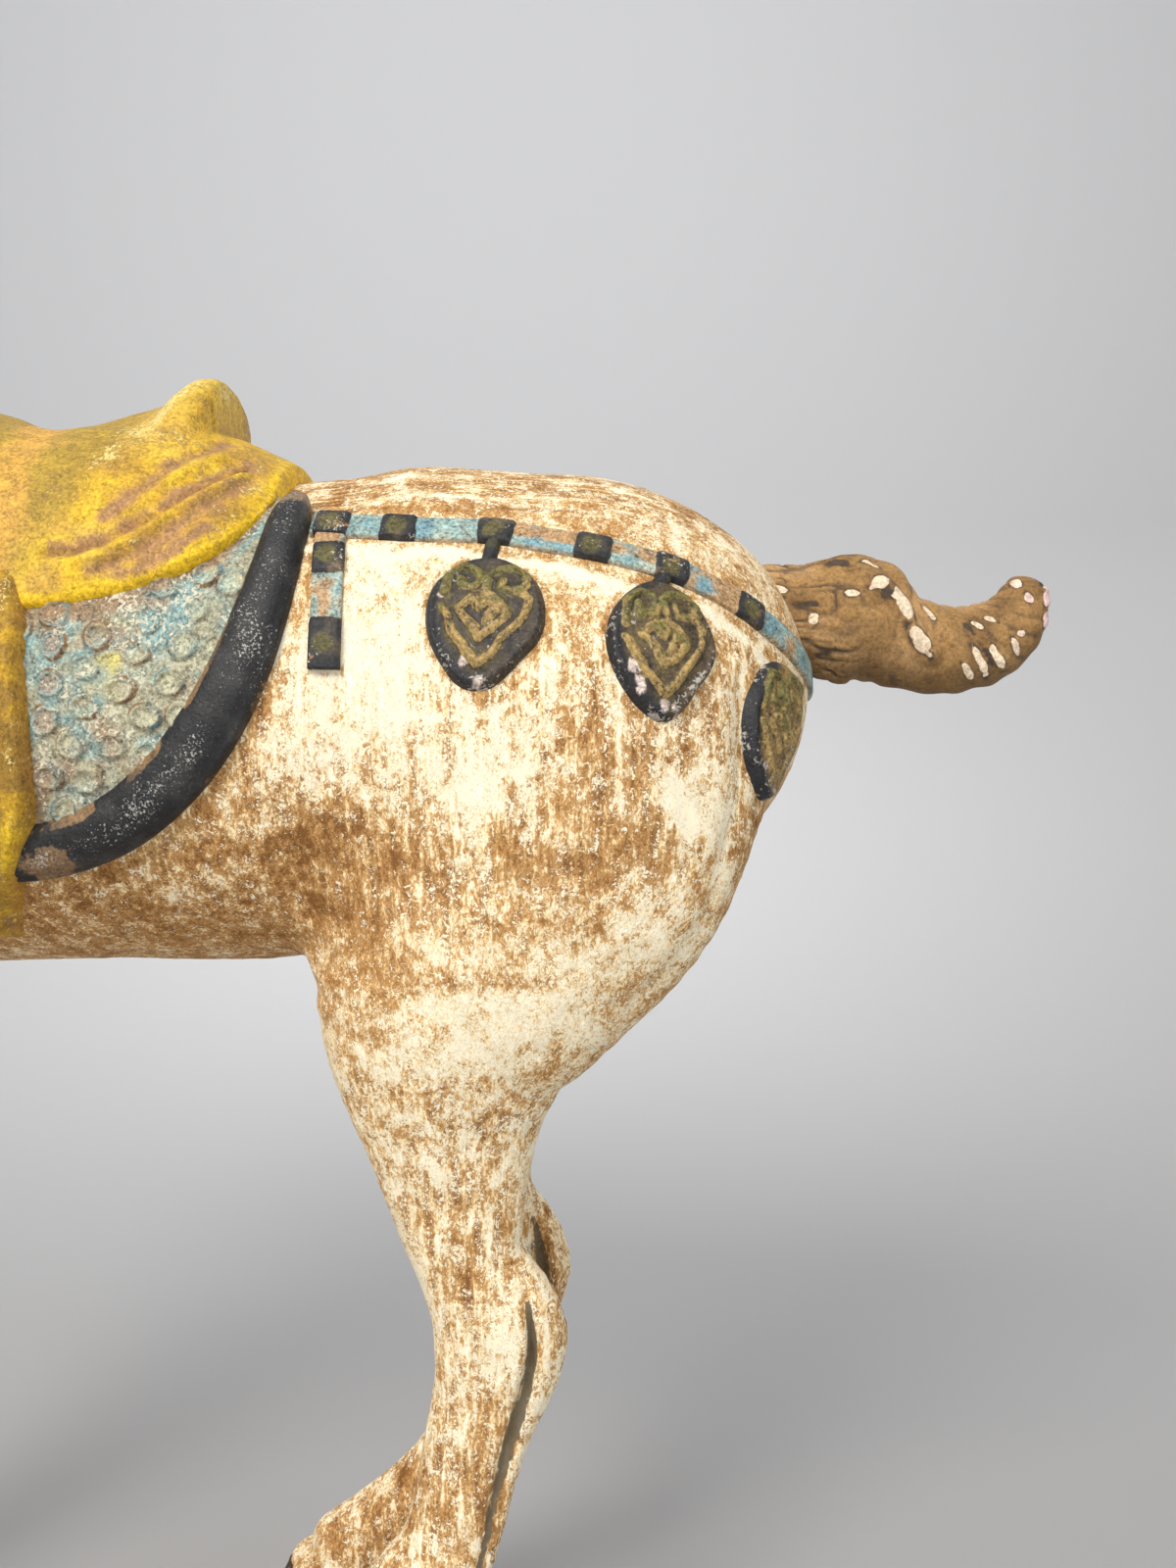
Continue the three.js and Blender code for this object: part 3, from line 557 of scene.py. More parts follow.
def distance_to(path, u, v):
    """How far points are from a path of straight stretches in a plane."""
    nearest = np.full(np.shape(u), np.inf)
    for (ax, ay), (bx, by) in zip(path[:-1], path[1:]):
        dx, dy = bx - ax, by - ay
        t = np.clip(((u - ax) * dx + (v - ay) * dy) / (dx * dx + dy * dy), 0, 1)
        nearest = np.minimum(nearest, np.hypot(u - ax - dx * t, v - ay - dy * t))
    return nearest


def ridge(distance, width):
    """A rounded ridge, 1 high, that is gone at about the given distance from its middle."""
    return np.exp(-((distance / (0.6 * width)) ** 2))


def quarter_round(inwards, size, least=0):
    """A factor for a rounded edge: 0 at the edge, and 1 from the size inwards."""
    return np.sqrt(1 - (1 - np.clip(inwards / size, least, 1)) ** 2)


def srgb(r, g, b):
    """A colour as seen on screen (0 to 255), as the light that it reflects."""
    c = np.array([r, g, b]) / 255
    return np.where(c <= 0.04045, c / 12.92, ((c + 0.055) / 1.055) ** 2.4)


def coloured(count, base, *layers):
    """A colour for each of a number of points: a base, and others laid over it by their shares."""
    colour = np.tile(srgb(*base), (count, 1))
    for other, share in layers:
        colour = colour + (srgb(*other) - colour) * np.clip(share, 0, 1)[:, None]
    return colour


def painted(colour, wear, flecks=0.0, mark=None, marks=None):
    """The attributes of a painted piece: its colours, how worn and how flecked they are, and the
    marks on it, which begin where mark passes a half, in colours of their own."""
    zero = np.zeros(len(colour))
    return {
        "paint": colour,
        "wear": zero + wear,
        "flecks": zero + flecks,
        "mark": zero if mark is None else np.clip(mark, -1, 2),
        "marks": colour if marks is None else marks,
    }


# The body

# The way of the brush lines at the back of the thigh, in radians, and where they are
BRUSHED_ANGLE = 0.62
BRUSHED = dict(x=262, z=332, half_length=32, half_height=26)
# Lines of relief on the body in side view, on both sides: points x, z, width, height
BODY_LINES = [
    ([(290, 426), (290, 388), (287, 374), (282, 356), (278, 339), (266, 323), (250, 308)], 5, -1.1),
    ([(281, 426), (281, 390), (277, 366)], 9, 0.8),
    ([(136, 330), (130, 345), (134, 362)], 9, -1.2),
    ([(-66, 470), (-74, 430), (-86, 390), (-97, 352)], 12, -1.6),
    ([(-150, 372), (-140, 345), (-130, 320)], 9, -1.2),
    ([(-150, 500), (-168, 560), (-176, 610)], 12, -1.4),
]
# Where the slip has worn off to the clay (above 0) or stayed thick (below 0), in side view:
# x, z, half sizes, amount
BODY_PATCHES = [
    (200, 362, 80, 13, 0.26), (158, 358, 34, 19, 0.30), (232, 378, 36, 18, 0.26),
    (80, 344, 68, 22, 0.24), (-40, 344, 60, 24, 0.22), (256, 405, 24, 12, 0.20),
    (150, 330, 24, 24, 0.26), (202, 316, 36, 5, 0.30), (268, 379, 6, 10, -0.70),
    (207, 395, 3, 3, -0.60), (303, 352, 11, 44, 0.20), (298, 436, 16, 10, 0.16),
    (190, 228, 9, 22, 0.16), (186, 140, 9, 24, 0.20), (172, 76, 24, 9, 0.22),
    (150, 425, 24, 34, -0.30), (172, 448, 20, 20, -0.16), (188, 398, 26, 26, -0.18),
    (230, 400, 24, 11, 0.20), (180, 366, 20, 14, -0.12), (280, 372, 17, 20, -0.26),
    (246, 326, 32, 15, -0.14), (190, 302, 38, 9, -0.26), (190, 262, 20, 16, 0.06),
    (204, 184, 11, 14, -0.28), (-110, 420, 34, 30, -0.22), (-150, 560, 30, 50, -0.14),
]
BARE_BASE = 0.44
# How far below a strap's middle a roll of thick slip lies, and how much its line wanders
SLIP_ROLL = dict(below=10.5, wander=1.6)
# What places that are near no strap, channel or lip get as their distance to it
FAR_OFF = 99.0
NOT_NEAR = 9.0


def dip(x, z):
    """How far the back sinks towards the saddle, in mm."""
    return 4.2 * smoothstep(174 - x, 0, 36) * smoothstep(x, 60, 100) * smoothstep(z, 470, 500)


def below_strap(x, side, z):
    """How far places on the body are below the straps' middles, or far off with none above."""
    far = np.full(len(x), FAR_OFF)
    for path, low, high in ((CRUPPER, 120, 320), (BREAST_STRAP, -185, -70)):
        line = sorted((q[0], q[2]) for q in path)
        height = np.interp(x, *np.array(line).T)
        near = (z > 415) & (side > 22) & (x > low) & (x < high)
        away = distance_to(line, x, z) * np.where(z < height, 1, -1)
        far = np.where(near, away, far)
    return far


def slip_roll(p):
    """How far places are from the middle of the roll of slip under the straps."""
    x, y, z = p.T
    return below_strap(x, np.abs(y), z) - SLIP_ROLL["below"] + SLIP_ROLL["wander"] * noise(p, 15, 7)


def body_relief(p):
    """How far the body's skin stands out, in mm, from modelling, tools and age."""
    x, y, z = p.T
    lift = noises(p, (0.45, 44, 1), (0.22, 17, 2), (0.09, 7, 3))
    for path, width, height in BODY_LINES:
        lift += height * ridge(distance_to(path, x, z), width) * smoothstep(np.abs(y), 18, 30)
    lift += 0.7 * ridge(slip_roll(p), 2.6)
    pits = noise(p, 5.5, 4)
    grit = 0.12 * noise(p, 3.2, 5) + 0.3 * patches(p, 4.2, 6, 0.6, 0.85)
    return lift + grit - 0.35 * smoothstep(pits, 0.62, 0.8) - dip(x, z)


def in_leaf(p, centre, up, side):
    """Where points lie on a pendant: 0 in its middle, 1 at its rim."""
    q = p - centre
    u, v = q @ side / (PENDANT["width"] / 2), q @ up / (PENDANT["height"] / 2)
    power = PENDANT["power"]
    return (np.abs(u) ** power + np.abs(v) ** power) ** (1 / power)


def leaf_frame(skin, centre):
    """A pendant's place on the skin, and its ways out, up and sideways."""
    point, out = (a[0] for a in skin.set_down(np.array([centre], float)))
    up = np.array([0, 0, 1.0]) - out * out[2]
    up /= np.linalg.norm(up)
    return point, out, up, np.cross(up, out)


def roll_path(steps=60):
    """The middle of the rug's roll in side view: x and z, round the rug's lower edge."""
    angle = np.linspace(0.045, np.pi - 0.045, steps + 1)
    along = np.sign(np.cos(angle)) * np.abs(np.cos(angle)) ** (2 / RUG["power"])
    down = np.sin(angle) ** (2 / RUG["power"])
    x = SADDLE["centre"] + RUG["half_length"] * along
    return np.stack([x, RUG["top"] - (RUG["top"] - RUG["foot"]) * down], axis=1)


def patchy_slip(p, crest, out):
    """How bare the clay is: broad patches, with the crest of the back browner, and painted shade that
    browns the belly's underside.
    """
    x, y, z = p.T
    bare = BARE_BASE + 0.10 * noise(p, 52, 11) + 0.08 * noise(p, 24, 12)
    shifted = p + 9 * np.stack([noise(p, 26, seed) for seed in (13, 14, 15)], axis=1)
    for px, pz, rx, rz, amount in BODY_PATCHES:
        far = ((shifted[:, 0] - px) / rx) ** 2 + ((shifted[:, 2] - pz) / rz) ** 2
        bare += amount * np.exp(-far) * np.where(np.abs(y) > 12, 1, 0.5)
    bare = bare + crest * (0.60 - bare)
    # Painted shade: the underside of the belly made browner
    belly_shade = smoothstep(-out[:, 2], 0.35, 0.8) * smoothstep(z, 300, 320)
    return bare + 0.16 * belly_shade


def bare_by_harness(skin, p, bare):
    """How bare the clay is, with a roll of slip and a painted shadow under the straps, a browner band
    above them, browner and creamier rings round the pendants, and a browner band along the roll.
    """
    x, y, z = p.T
    side = np.abs(y)
    far = below_strap(x, side, z)
    bare = bare - 0.5 * ridge(slip_roll(p), 3.4)
    # Painted shadow: a brown band just under each strap's lower edge
    bare += 0.34 * ridge(far - 7.2, 3) * patches(p, 20, 17, -0.3, 0.3)
    bare += 0.2 * ridge(far + 8, 5)
    left = np.stack([x, -side, z], axis=1)
    for centre in SIDE_PENDANTS:
        point, outwards, up, across = leaf_frame(skin, centre)
        r = in_leaf(left, point, up, across)
        close = np.abs((left - point) @ outwards) < 14
        bare += close * (0.24 * ridge(r - 1.06, 0.12) - 0.2 * ridge(r - 1.2, 0.12))
    outside = (side > 30) & (z > 340) & (z < 510)
    return bare + outside * 0.34 * ridge(distance_to(roll_path(), x, z) - 13.5, 5)


def near_field(p, regions):
    """Distance to one of some fields, each in a region of its own."""
    x, y, z = p.T
    far = np.full(len(p), NOT_NEAR)
    for region, field in regions:
        far[region] = field(x[region], y[region], z[region])
    return far


def black_places(p):
    """Where the body is painted black, above a half: hooves, eyes and nostrils."""
    x, y, z = p.T
    middle = np.where(x > 0, HIND_HOOF[0], FORE_HOOF[0])
    edge = 46 + 2 * noise(p, 16, 16) + 0.32 * (middle - x)
    black = 0.5 + 0.5 * (edge - z)
    for form, grow in ((EYE, 1.02), (NOSTRIL, 0.92)):
        black = np.maximum(black, 1 - 0.5 * ball(form, x, np.abs(y), z, grow))
    return black


def body_paint(skin, p, out):
    """The body's attributes: how bare its clay is, how much it streaks and which way, how much
    painted shade lies in its channels and between its lips, and how black it is."""
    x, y, z = p.T
    side = np.abs(y)
    crest = smoothstep(out[:, 2], 0.52, 0.8) * smoothstep(z, 470, 488)
    bare = bare_by_harness(skin, p, patchy_slip(p, crest, out))

    left = np.stack([x, side, z], axis=1)
    channel = near_field(left, [
        ((z < 240) & (x > 0), partial(channel_field, leg_channel)),
        ((z < 240) & (x < 0), partial(channel_field, fore_channel)),
    ])
    lips = near_field(p, [(x < -240, partial(limb_field, mouth))])
    bare += 0.16 * ridge(channel - 1, 1.8) * (channel > 0)
    bare += 0.3 * (1 - smoothstep(ball(EAR_HOLLOW, x, side, z), 0, 1.5))
    flank = smoothstep(z, 325, 350) * (1 - smoothstep(z, 425, 455)) * smoothstep(side, 30, 60)
    legs = 1 - smoothstep(z, 250, 320)
    # Painted shade: the legs' inner faces, which look at each other, made browner
    bare += 0.16 * legs * smoothstep(-out[:, 1] * np.sign(y), 0.0, 0.7)
    bare = np.where(bare > 0.5, 0.5 + 0.5 * (bare - 0.5), 0.5 - 0.8 * (0.5 - bare))
    brush_x = (x - BRUSHED["x"]) / BRUSHED["half_length"]
    brush_z = (z - BRUSHED["z"]) / BRUSHED["half_height"]
    return {
        "bare": np.clip(bare, 0, 1),
        "streak": np.clip(0.35 + 0.65 * flank + 0.7 * legs + 0.9 * crest, 0, 1.3),
        "lengthwise": crest,
        "brushed": np.exp(-(brush_x**2) - brush_z**2) * (side > 20),
        # Painted shade in the leg channels and between the lips
        "grime": np.clip(0.5 - 0.5 * np.minimum(channel, lips), -1, 2),
        "black": np.clip(black_places(p), -1, 2),
    }


def thinned(points, quads, triangles):
    """A mesh of quads brought down to a number of triangles, close where it bends."""
    mesh = bpy.data.meshes.new("thinning")
    mesh.from_pydata(points, [], quads.tolist())
    carrier = linked("thinning", mesh)
    modifier = carrier.modifiers.new("thin", "DECIMATE")
    modifier.ratio = min(1, triangles / (2 * len(quads)))
    modifier.use_collapse_triangulate = True
    evaluated = carrier.evaluated_get(bpy.context.evaluated_depsgraph_get())
    made = evaluated.to_mesh()

    def read(items, key, kind):
        values = np.empty(3 * len(items), kind)
        items.foreach_get(key, values)
        return values.reshape(-1, 3)

    places = read(made.vertices, "co", float)
    corners = read(made.polygons, "vertices", np.int32)
    out = read(made.vertex_normals, "vector", float)
    evaluated.to_mesh_clear()
    bpy.data.objects.remove(carrier)
    bpy.data.meshes.remove(mesh)
    return places, corners, out


def body_piece(skin, material, triangles):
    """The horse's skin with its relief."""
    points, quads = surface_of(skin)
    free = smoothstep(points[:, 2], GROUND, GROUND + 3)
    points = points + normals_of(points, quads) * (free * body_relief(points))[:, None]
    points, corners, out = thinned(points, quads, triangles)
    piece("horse_body", points, corners.tolist(), material, body_paint(skin, points, out))


# Saddle, rug and roll

# The arches under the cloth: offset from the saddle's middle, radius, how much lower it lies,
# and its fillet
ARCHES = [(46.6, 8.4, 0.0, 6), (37.6, 8.5, 10.2, 10), (28.3, 9, 15.4, 10), (19, 9, 18.6, 10)]
# The space that holds one half of the saddle: from and to in x, y and z
COVER_SPACE = ((-82, 142), (0, 112), (384, 566))
# How far round the saddle the cloth can go, in radians, and how much its ends bunch its rows up
COVER_TURN = 1.75
COVER_ENDS = 0.96
# Folds of the saddle cloth: distance from the saddle's middle and z of their points, width, height
FOLDS = [
    ([(19, 466.5), (29, 467.4), (39.5, 471.4), (46, 475.8), (56, 482), (65, 490), (72.7, 497.5),
      (81, 504.8)], 2.4, -2.1),
    ([(29, 470), (39, 475), (46, 480), (55, 486), (64, 494), (71, 501), (79, 508)], 6, -1.2),
    ([(30.6, 464), (40, 466.9), (49.8, 473.3), (57.3, 479.5), (64.6, 485.9), (71.7, 492),
      (80, 499.5)], 3.6, 1.5),
    ([(40, 461.5), (50.7, 467), (65.3, 479), (74, 487.5), (83, 497)], 4.5, -1.4),
    ([(38, 480.4), (47, 489.7), (59, 504.8), (65.7, 512), (70.4, 519.9)], 5, -1.7),
    ([(44, 480), (54, 490), (62, 499), (70, 508)], 4, 1.0),
    ([(30, 478), (36, 483), (40, 490)], 3, -1.0),
    ([(8, 470), (20, 492), (30, 512)], 7, -0.9),
]
# Where the folds are purplish brown along their valleys: points, width
BROWN_FOLDS = [
    ([(22, 468), (29, 469), (39.5, 473.5), (46, 478), (56, 484.5), (65, 492.5), (73, 500),
      (81, 506)], 4.5),
    ([(36, 461), (50.7, 467.5), (65.3, 480), (74, 488), (83, 498)], 5),
    ([(38, 481), (47, 490), (59, 504), (66, 511), (70.4, 517)], 4.5),
    ([(42, 459), (53, 462.5), (63, 468), (73, 477)], 3),
]
# A pale line over the hump of the rear arch
PALE_LINE = [(33, 508), (44, 527), (54, 545)]


def cover_volume(skin, step=2.6):
    """The outside of the saddle under its cloth, on a grid: seat, arches, and the back."""
    lines = [np.arange(low, high, step) for low, high in COVER_SPACE]
    x, y, z = grid(*lines)
    d = limb_field(seat, x, y, z)
    up = z - ARCH["rise"]
    far = np.hypot(y, up) - ARCH["radius"]
    for way in (-1, 1):
        for offset, thick, lower, fillet in ARCHES:
            middle = SADDLE["centre"] + way * (offset + up / ARCH["radius"] * ARCH["lean"])
            around = np.hypot(np.maximum(0, far + lower), x - middle)
            d = blend(d, around - thick, fillet)
    back = skin.at(np.stack([x, y, z], axis=1)) - COVER["thick"] + dip(x, z)
    return mirrored(lines, np.minimum(d, back).reshape([len(a) for a in lines]))


def around_axis(x, angle, far):
    """Points at an angle to upright and a distance from the saddle's axis."""
    return np.stack([x, far * np.sin(angle), COVER["axis"] + far * np.cos(angle)], axis=1)


def cast(volume, x, angle, far=140, halvings=18):
    """How far from the saddle's axis, at an angle to upright, a volume's surface is."""
    low, high = np.zeros(x.shape), np.full(x.shape, float(far))
    for _ in range(halvings):
        middle = (low + high) / 2
        inside = volume.at(around_axis(x, angle, middle)) < 0
        low, high = np.where(inside, middle, low), np.where(inside, high, middle)
    return low


def cover_edge(x):
    """The height of the cloth's lower edge."""
    share = np.clip(np.abs(x - SADDLE["centre"]) / COVER["half_length"], 0, 1)
    return COVER["edge_ends"] - COVER["edge_drop"] * np.sqrt(1 - share**2)


def cover_ends(cover, xs, steps=160):
    """The angle to upright at which the cloth reaches its lower edge, at each x."""
    angles = np.linspace(0, COVER_TURN, steps)
    outer = cast(cover, *grid(xs, angles)).reshape(len(xs), -1)
    ends = []
    for row, edge in zip(COVER["axis"] + outer * np.cos(angles), cover_edge(xs)):
        past = np.argmax(row < edge)
        t = (row[past - 1] - edge) / (row[past - 1] - row[past])
        ends.append(angles[past - 1] + t * (angles[past] - angles[past - 1]))
    return np.array(ends)


def cover_relief(p):
    """How far the cloth stands out, in mm, from its folds and unevenness."""
    away = np.abs(p[:, 0] - SADDLE["centre"])
    steady = smoothstep(np.abs(p[:, 1]), 14, 34)
    lift = np.zeros(len(p))
    for path, width, height in FOLDS:
        lift += height * ridge(distance_to(path, away, p[:, 2]), width) * steady
    return lift + noises(p, (0.5, 22, 21), (0.28, 9, 22), (0.12, 4, 23))


def cover_paint(p, lift, border):
    """Yellow, olive on the seat, purplish brown along the folds, and painted shade in their deepest
    creases.
    """
    away, z = np.abs(p[:, 0] - SADDLE["centre"]), p[:, 2]
    blotches = noises(p, (1, 22, 31), (0.7, 9, 32), (0.4, 4, 37))
    seat_line = away - 15 - 0.4 * (z - 468) + 4 * noise(p, 18, 33)
    olive = 1 - smoothstep(seat_line, -3, 8)
    hump = smoothstep(z, 500, 515) * (1 - smoothstep(np.abs(away - 48), 8, 18))
    worn = 0.4 * patches(p, [16, 12, 7], 36, 0.3, 0.8) * (1 - hump)
    ragged = 2.4 * noise(p, 7, 35) + 1.2 * noise(p, 3, 38)
    # The brown along the folds' valleys
    for path, width in BROWN_FOLDS:
        far = np.maximum(distance_to(path, away, z) + ragged, 0)
        worn = np.maximum(worn, 0.9 * ridge(far, width))
    worn *= 1 - olive
    colour = coloured(
        len(p), (214, 172, 44),
        ((184, 144, 58), smoothstep(blotches, -0.2, 0.9)),
        ((232, 196, 60), smoothstep(-blotches, 0.0, 0.8) * 0.8),
        ((166, 138, 58), 0.85 * olive),
        ((214, 164, 76), 0.8 * (1 - smoothstep(away + 6 * noise(p, 9, 34), 5, 13))),
        ((232, 190, 34), 0.8 * (1 - smoothstep(border, 3, 12))),
        ((214, 176, 84), 0.5 * hump),
        ((172, 130, 92), worn),
        # painted shade in the deepest creases of the folds
        ((120, 88, 56), 0.7 * smoothstep(-lift, 1.6, 2.8)),
    )
    pale = ridge(distance_to(PALE_LINE, away + 3 * noise(p, 9, 39), z), 11)
    return painted(colour, 0.3 + 0.16 * worn + 0.06 * hump, 0.02 + 0.23 * pale - 0.03 * olive)


def cover_piece(skin, material, rows, columns):
    """The cloth over the saddle: its outside, brought down to the skin at its border."""
    cover = cover_volume(skin)
    turn = np.pi / 2 * COVER_ENDS
    share = np.sin(np.linspace(-1, 1, rows) * np.pi / 2 * COVER_ENDS) / np.sin(turn)
    xs = SADDLE["centre"] + COVER["half_length"] * 0.999 * share
    ends = cover_ends(cover, xs)
    v = np.linspace(-1, 1, columns)
    x = np.repeat(xs, columns)
    angle = (ends[:, None] * v).ravel()
    points = around_axis(x, angle, cast(cover, x, angle))
    quads = grid_quads(rows, columns)
    lift = cover_relief(points)
    points -= normals_of(points, np.array(quads)) * lift[:, None]
    from_side = (1 - np.abs(np.tile(v, rows))) * np.repeat(ends * 88, columns)
    from_end = (1 - np.abs(np.repeat(share, columns))) * COVER["half_length"] * 1.6
    border = np.minimum(from_side, from_end)
    under = around_axis(x, angle, cast(skin, x, angle) - 1.2 - dip(x, points[:, 2]))
    points = under + (points - under) * quarter_round(border, 3.2)[:, None]
    piece("saddle_cloth", points, flipped(quads), material, cover_paint(points, lift, border))


# The fall's half width, as shares, at shares of its way down
FALL_WIDTHS = [
    (0, 0.8), (0.05, 1.0), (0.16, 1.16), (0.3, 1.22), (0.44, 1.3), (0.62, 1.3), (0.7, 1.15),
    (0.785, 0.88), (0.915, 0.42), (1, 0.15),
]
# How far above the cloth's edge the fall starts, and how deep its rim is sunk
FALL_TUCKED = 8
FALL_SUNK = 1.5


def fall_pieces(skin, material, rows, columns):
    """The falls of cloth that hang from the gather: pleated tongues."""
    down, v = grid(np.linspace(0, 1, rows), np.linspace(-1, 1, columns))
    half = FALL["half_width"] * np.interp(down, *np.array(FALL_WIDTHS).T)
    top = FALL["top"] + FALL_TUCKED
    z = top + (FALL["foot"] - top) * down
    x = FALL["x"] + half * v * (1 - 0.08 * (1 - down))
    p = skin.left_skin(x, z)
    pleats = 1.3 * np.cos(2.6 * np.pi * (v - 0.25 * down)) * smoothstep(down, 0.05, 0.3)
    from_side = (1 - np.abs(v)) * half
    border = np.minimum(from_side, np.minimum(down, 1 - down) * 128)
    over_roll = 3.6 * ridge(z - RUG["foot"] - 2, 26)
    head = 3.0 * (1 - smoothstep(down, 0.02, 0.16)) + over_roll
    lift = FALL["thick"] + head + pleats + 0.5 * noise(p, 13, 41) + 0.3 * noise(p, 5, 42)
    points = p.copy()
    points[:, 1] -= -FALL_SUNK + (lift + FALL_SUNK) * quarter_round(border, 5)
    blotches = noises(p, (1, [14, 14, 26], 43), (0.6, 6, 44), (0.5, 3, 45))
    # Painted shade in the pleats' valleys, which also get a little more wear
    worn = smoothstep(-pleats, 0.2, 1.4)
    colour = coloured(
        len(p), (190, 150, 40),
        ((150, 116, 48), smoothstep(blotches, 0.0, 0.8)),
        ((224, 188, 44), smoothstep(-blotches, 0.1, 0.9)),
        ((168, 124, 62), 0.6 * (1 - smoothstep(from_side, 0.5, 4))),
        ((146, 120, 56), 0.5 * worn),
    )
    faces = flipped(grid_quads(rows, columns))
    pair("saddle_fall", points, faces, material, painted(colour, 0.3 + 0.12 * worn, 0.06))


# The raised rings on the rug: their middles' distance from the saddle's middle, and z
RINGS = [
    (69, 435.3), (53, 432.2), (36.5, 427.4), (40, 438), (72, 447.8), (64.9, 422.3), (48, 419.5),
    (36.3, 414.3), (24.6, 421.6), (23.3, 409), (32, 401.2), (45.5, 401.2), (23.6, 390.2),
    (25.2, 435.4), (56.3, 444.3), (83, 457.5), (57, 410.5), (12, 415), (11, 402), (12, 428),
    (12, 389), (36, 389), (84, 446), (13, 441), (68, 411), (80, 434), (57, 398), (12, 376),
    (28, 378), (24, 446), (60, 456), (74, 461),
]
RING = dict(radius=3.9, line=1.5, height=1.6)
# The middle of the yellow stain on the rug: distance from the saddle's middle, and z
STAIN = (46, 432)


def ring_relief(away, z):
    """The rings' relief, and how far the closest ring's middle is."""
    nearest = np.full(len(z), FAR_OFF)
    for i, (along, height) in enumerate(RINGS):
        squash = 1 + 0.1 * math.sin(5 * i)
        nearest = np.minimum(nearest, np.hypot((away - along) * squash, (z - height) / squash))
    line = ridge(nearest - RING["radius"], RING["line"])
    moat = ridge(nearest - RING["radius"] - 2, RING["line"])
    return RING["height"] * line - 0.3 * moat + 0.3 * ridge(nearest, 3.4), nearest


def rug_paint(p, nearest):
    """Faded blue-green with tan places, brown along the cloth, and painted shade as dark lines round
    the rings.
    """
    x, _, z = p.T
    away = np.abs(x - SADDLE["centre"])
    below = z - cover_edge(x)
    blotches = noises(p, (1, 19, 56), (0.8, 8, 57), (0.4, 3.5, 58))
    blue = blotches + 0.8 * smoothstep(below, -26, -6) + 0.7 * (1 - smoothstep(away, 18, 44))
    tan = smoothstep(noise(p, 15, 59) + 0.5 * noise(p, 5, 60), 0.0, 0.6)
    disc = 1 - smoothstep(nearest, 2.4, 4.4)
    stain = ridge(np.hypot((away - STAIN[0]) / 1.1, (z - STAIN[1]) / 1.6), 11)
    colour = coloured(
        len(p), (168, 164, 138),
        ((122, 158, 160), 0.9 * smoothstep(blue, -0.2, 0.9)),
        ((152, 122, 92), 0.75 * tan),
        ((196, 196, 166), 0.5 * disc * patches(p, 14, 62, -0.5, 0.5)),
        ((168, 132, 106), 0.6 * disc * patches(p, 17, 61, 0.15, 0.6)),
        ((214, 196, 88), 0.7 * (stain * patches(p, 5, 63, -0.5, 0.3))),
        ((146, 116, 82), 0.75 * smoothstep(below, -7 + 3 * blotches, -2)),
    )
    # Painted shade: darker blue and brown at the outer foot of each raised ring
    outline = 0.5 + (0.6 - np.abs(nearest - RING["radius"] - 0.9)) / 2.2
    brown = smoothstep(noise(p, 8, 64) + 0.1, -0.3, 0.3)
    marks = coloured(len(p), (104, 138, 142), ((134, 108, 80), brown))
    faded = 0.3 * patches(p, 7, 65, -0.3, 0.4) + 0.12 * blotches
    return painted(colour, 0.26 + 0.12 * tan, 0.05 + 0.05 * blotches, outline - faded, marks)


def rug_pieces(skin, material, rows, columns):
    """The rug's sides: thin sheets on the skin, from the cloth down to the roll."""
    u, t = grid(np.linspace(-0.985, 0.985, columns), np.linspace(0, 1, rows))
    out = np.abs(u)
    x = SADDLE["centre"] + RUG["half_length"] * u
    down = (1 - out ** RUG["power"]) ** (1 / RUG["power"])
    low = RUG["top"] - (RUG["top"] - RUG["foot"]) * down
    high = cover_edge(x) + 7 * (1 - smoothstep(out, 0.86, 0.92)) - 14 * smoothstep(out, 0.9, 0.985)
    z = low + (high - low) * t
    p = skin.left_skin(x, z)
    away = np.abs(x - SADDLE["centre"]) + 0.8 * noise(p, 7, 50)
    lift, nearest = ring_relief(away, z + 0.8 * noise(p, 7, 51))
    points = p.copy()
    points[:, 1] -= RUG["thick"] + lift + 0.35 * noise(p, 12, 54) + 0.15 * noise(p, 4, 55)
    pair("rug", points, grid_quads(columns, rows), material, rug_paint(p, nearest))


# Bands: roll, straps and bridle

def band(skin, route, width, thick, profile, raised=None):
    """A band laid over the skin along a route. Gives its points and faces, and how far each point
    is along and across, in mm. The profile gives a lift for each share of the width."""
    sat, out = skin.set_down(route)
    across = np.cross(np.gradient(sat, axis=0), out)
    across /= np.linalg.norm(across, axis=1)[:, None]
    share, height = profile.T
    far = share * np.broadcast_to(width, len(sat))[:, None]
    lift = height * np.broadcast_to(thick, len(sat))[:, None]
    s = lengths_along(sat)[:, None] * np.ones_like(far)
    if raised is not None:
        lift = lift + raised(s, far) * (height > 0.2)
    lift = np.where(height < 0, -SINK, lift)
    points = sat[:, None] + across[:, None] * far[..., None] + out[:, None] * lift[..., None]
    faces = flipped(tube_faces(len(sat), len(profile)))
    return points.reshape(-1, 3), faces, s.ravel(), far.ravel()


def rounded_profile(columns, power):
    """Shares of width and lift over a band from edge to edge, and back underneath it."""
    share = np.sin(np.linspace(-1, 1, columns) * np.pi / 2) / 2
    lift = (1 - np.abs(2 * share) ** power) ** (1 / power)
    top = np.stack([share, lift], axis=1)
    return np.vstack([top, [(0.5, -1), (-0.5, -1)]])


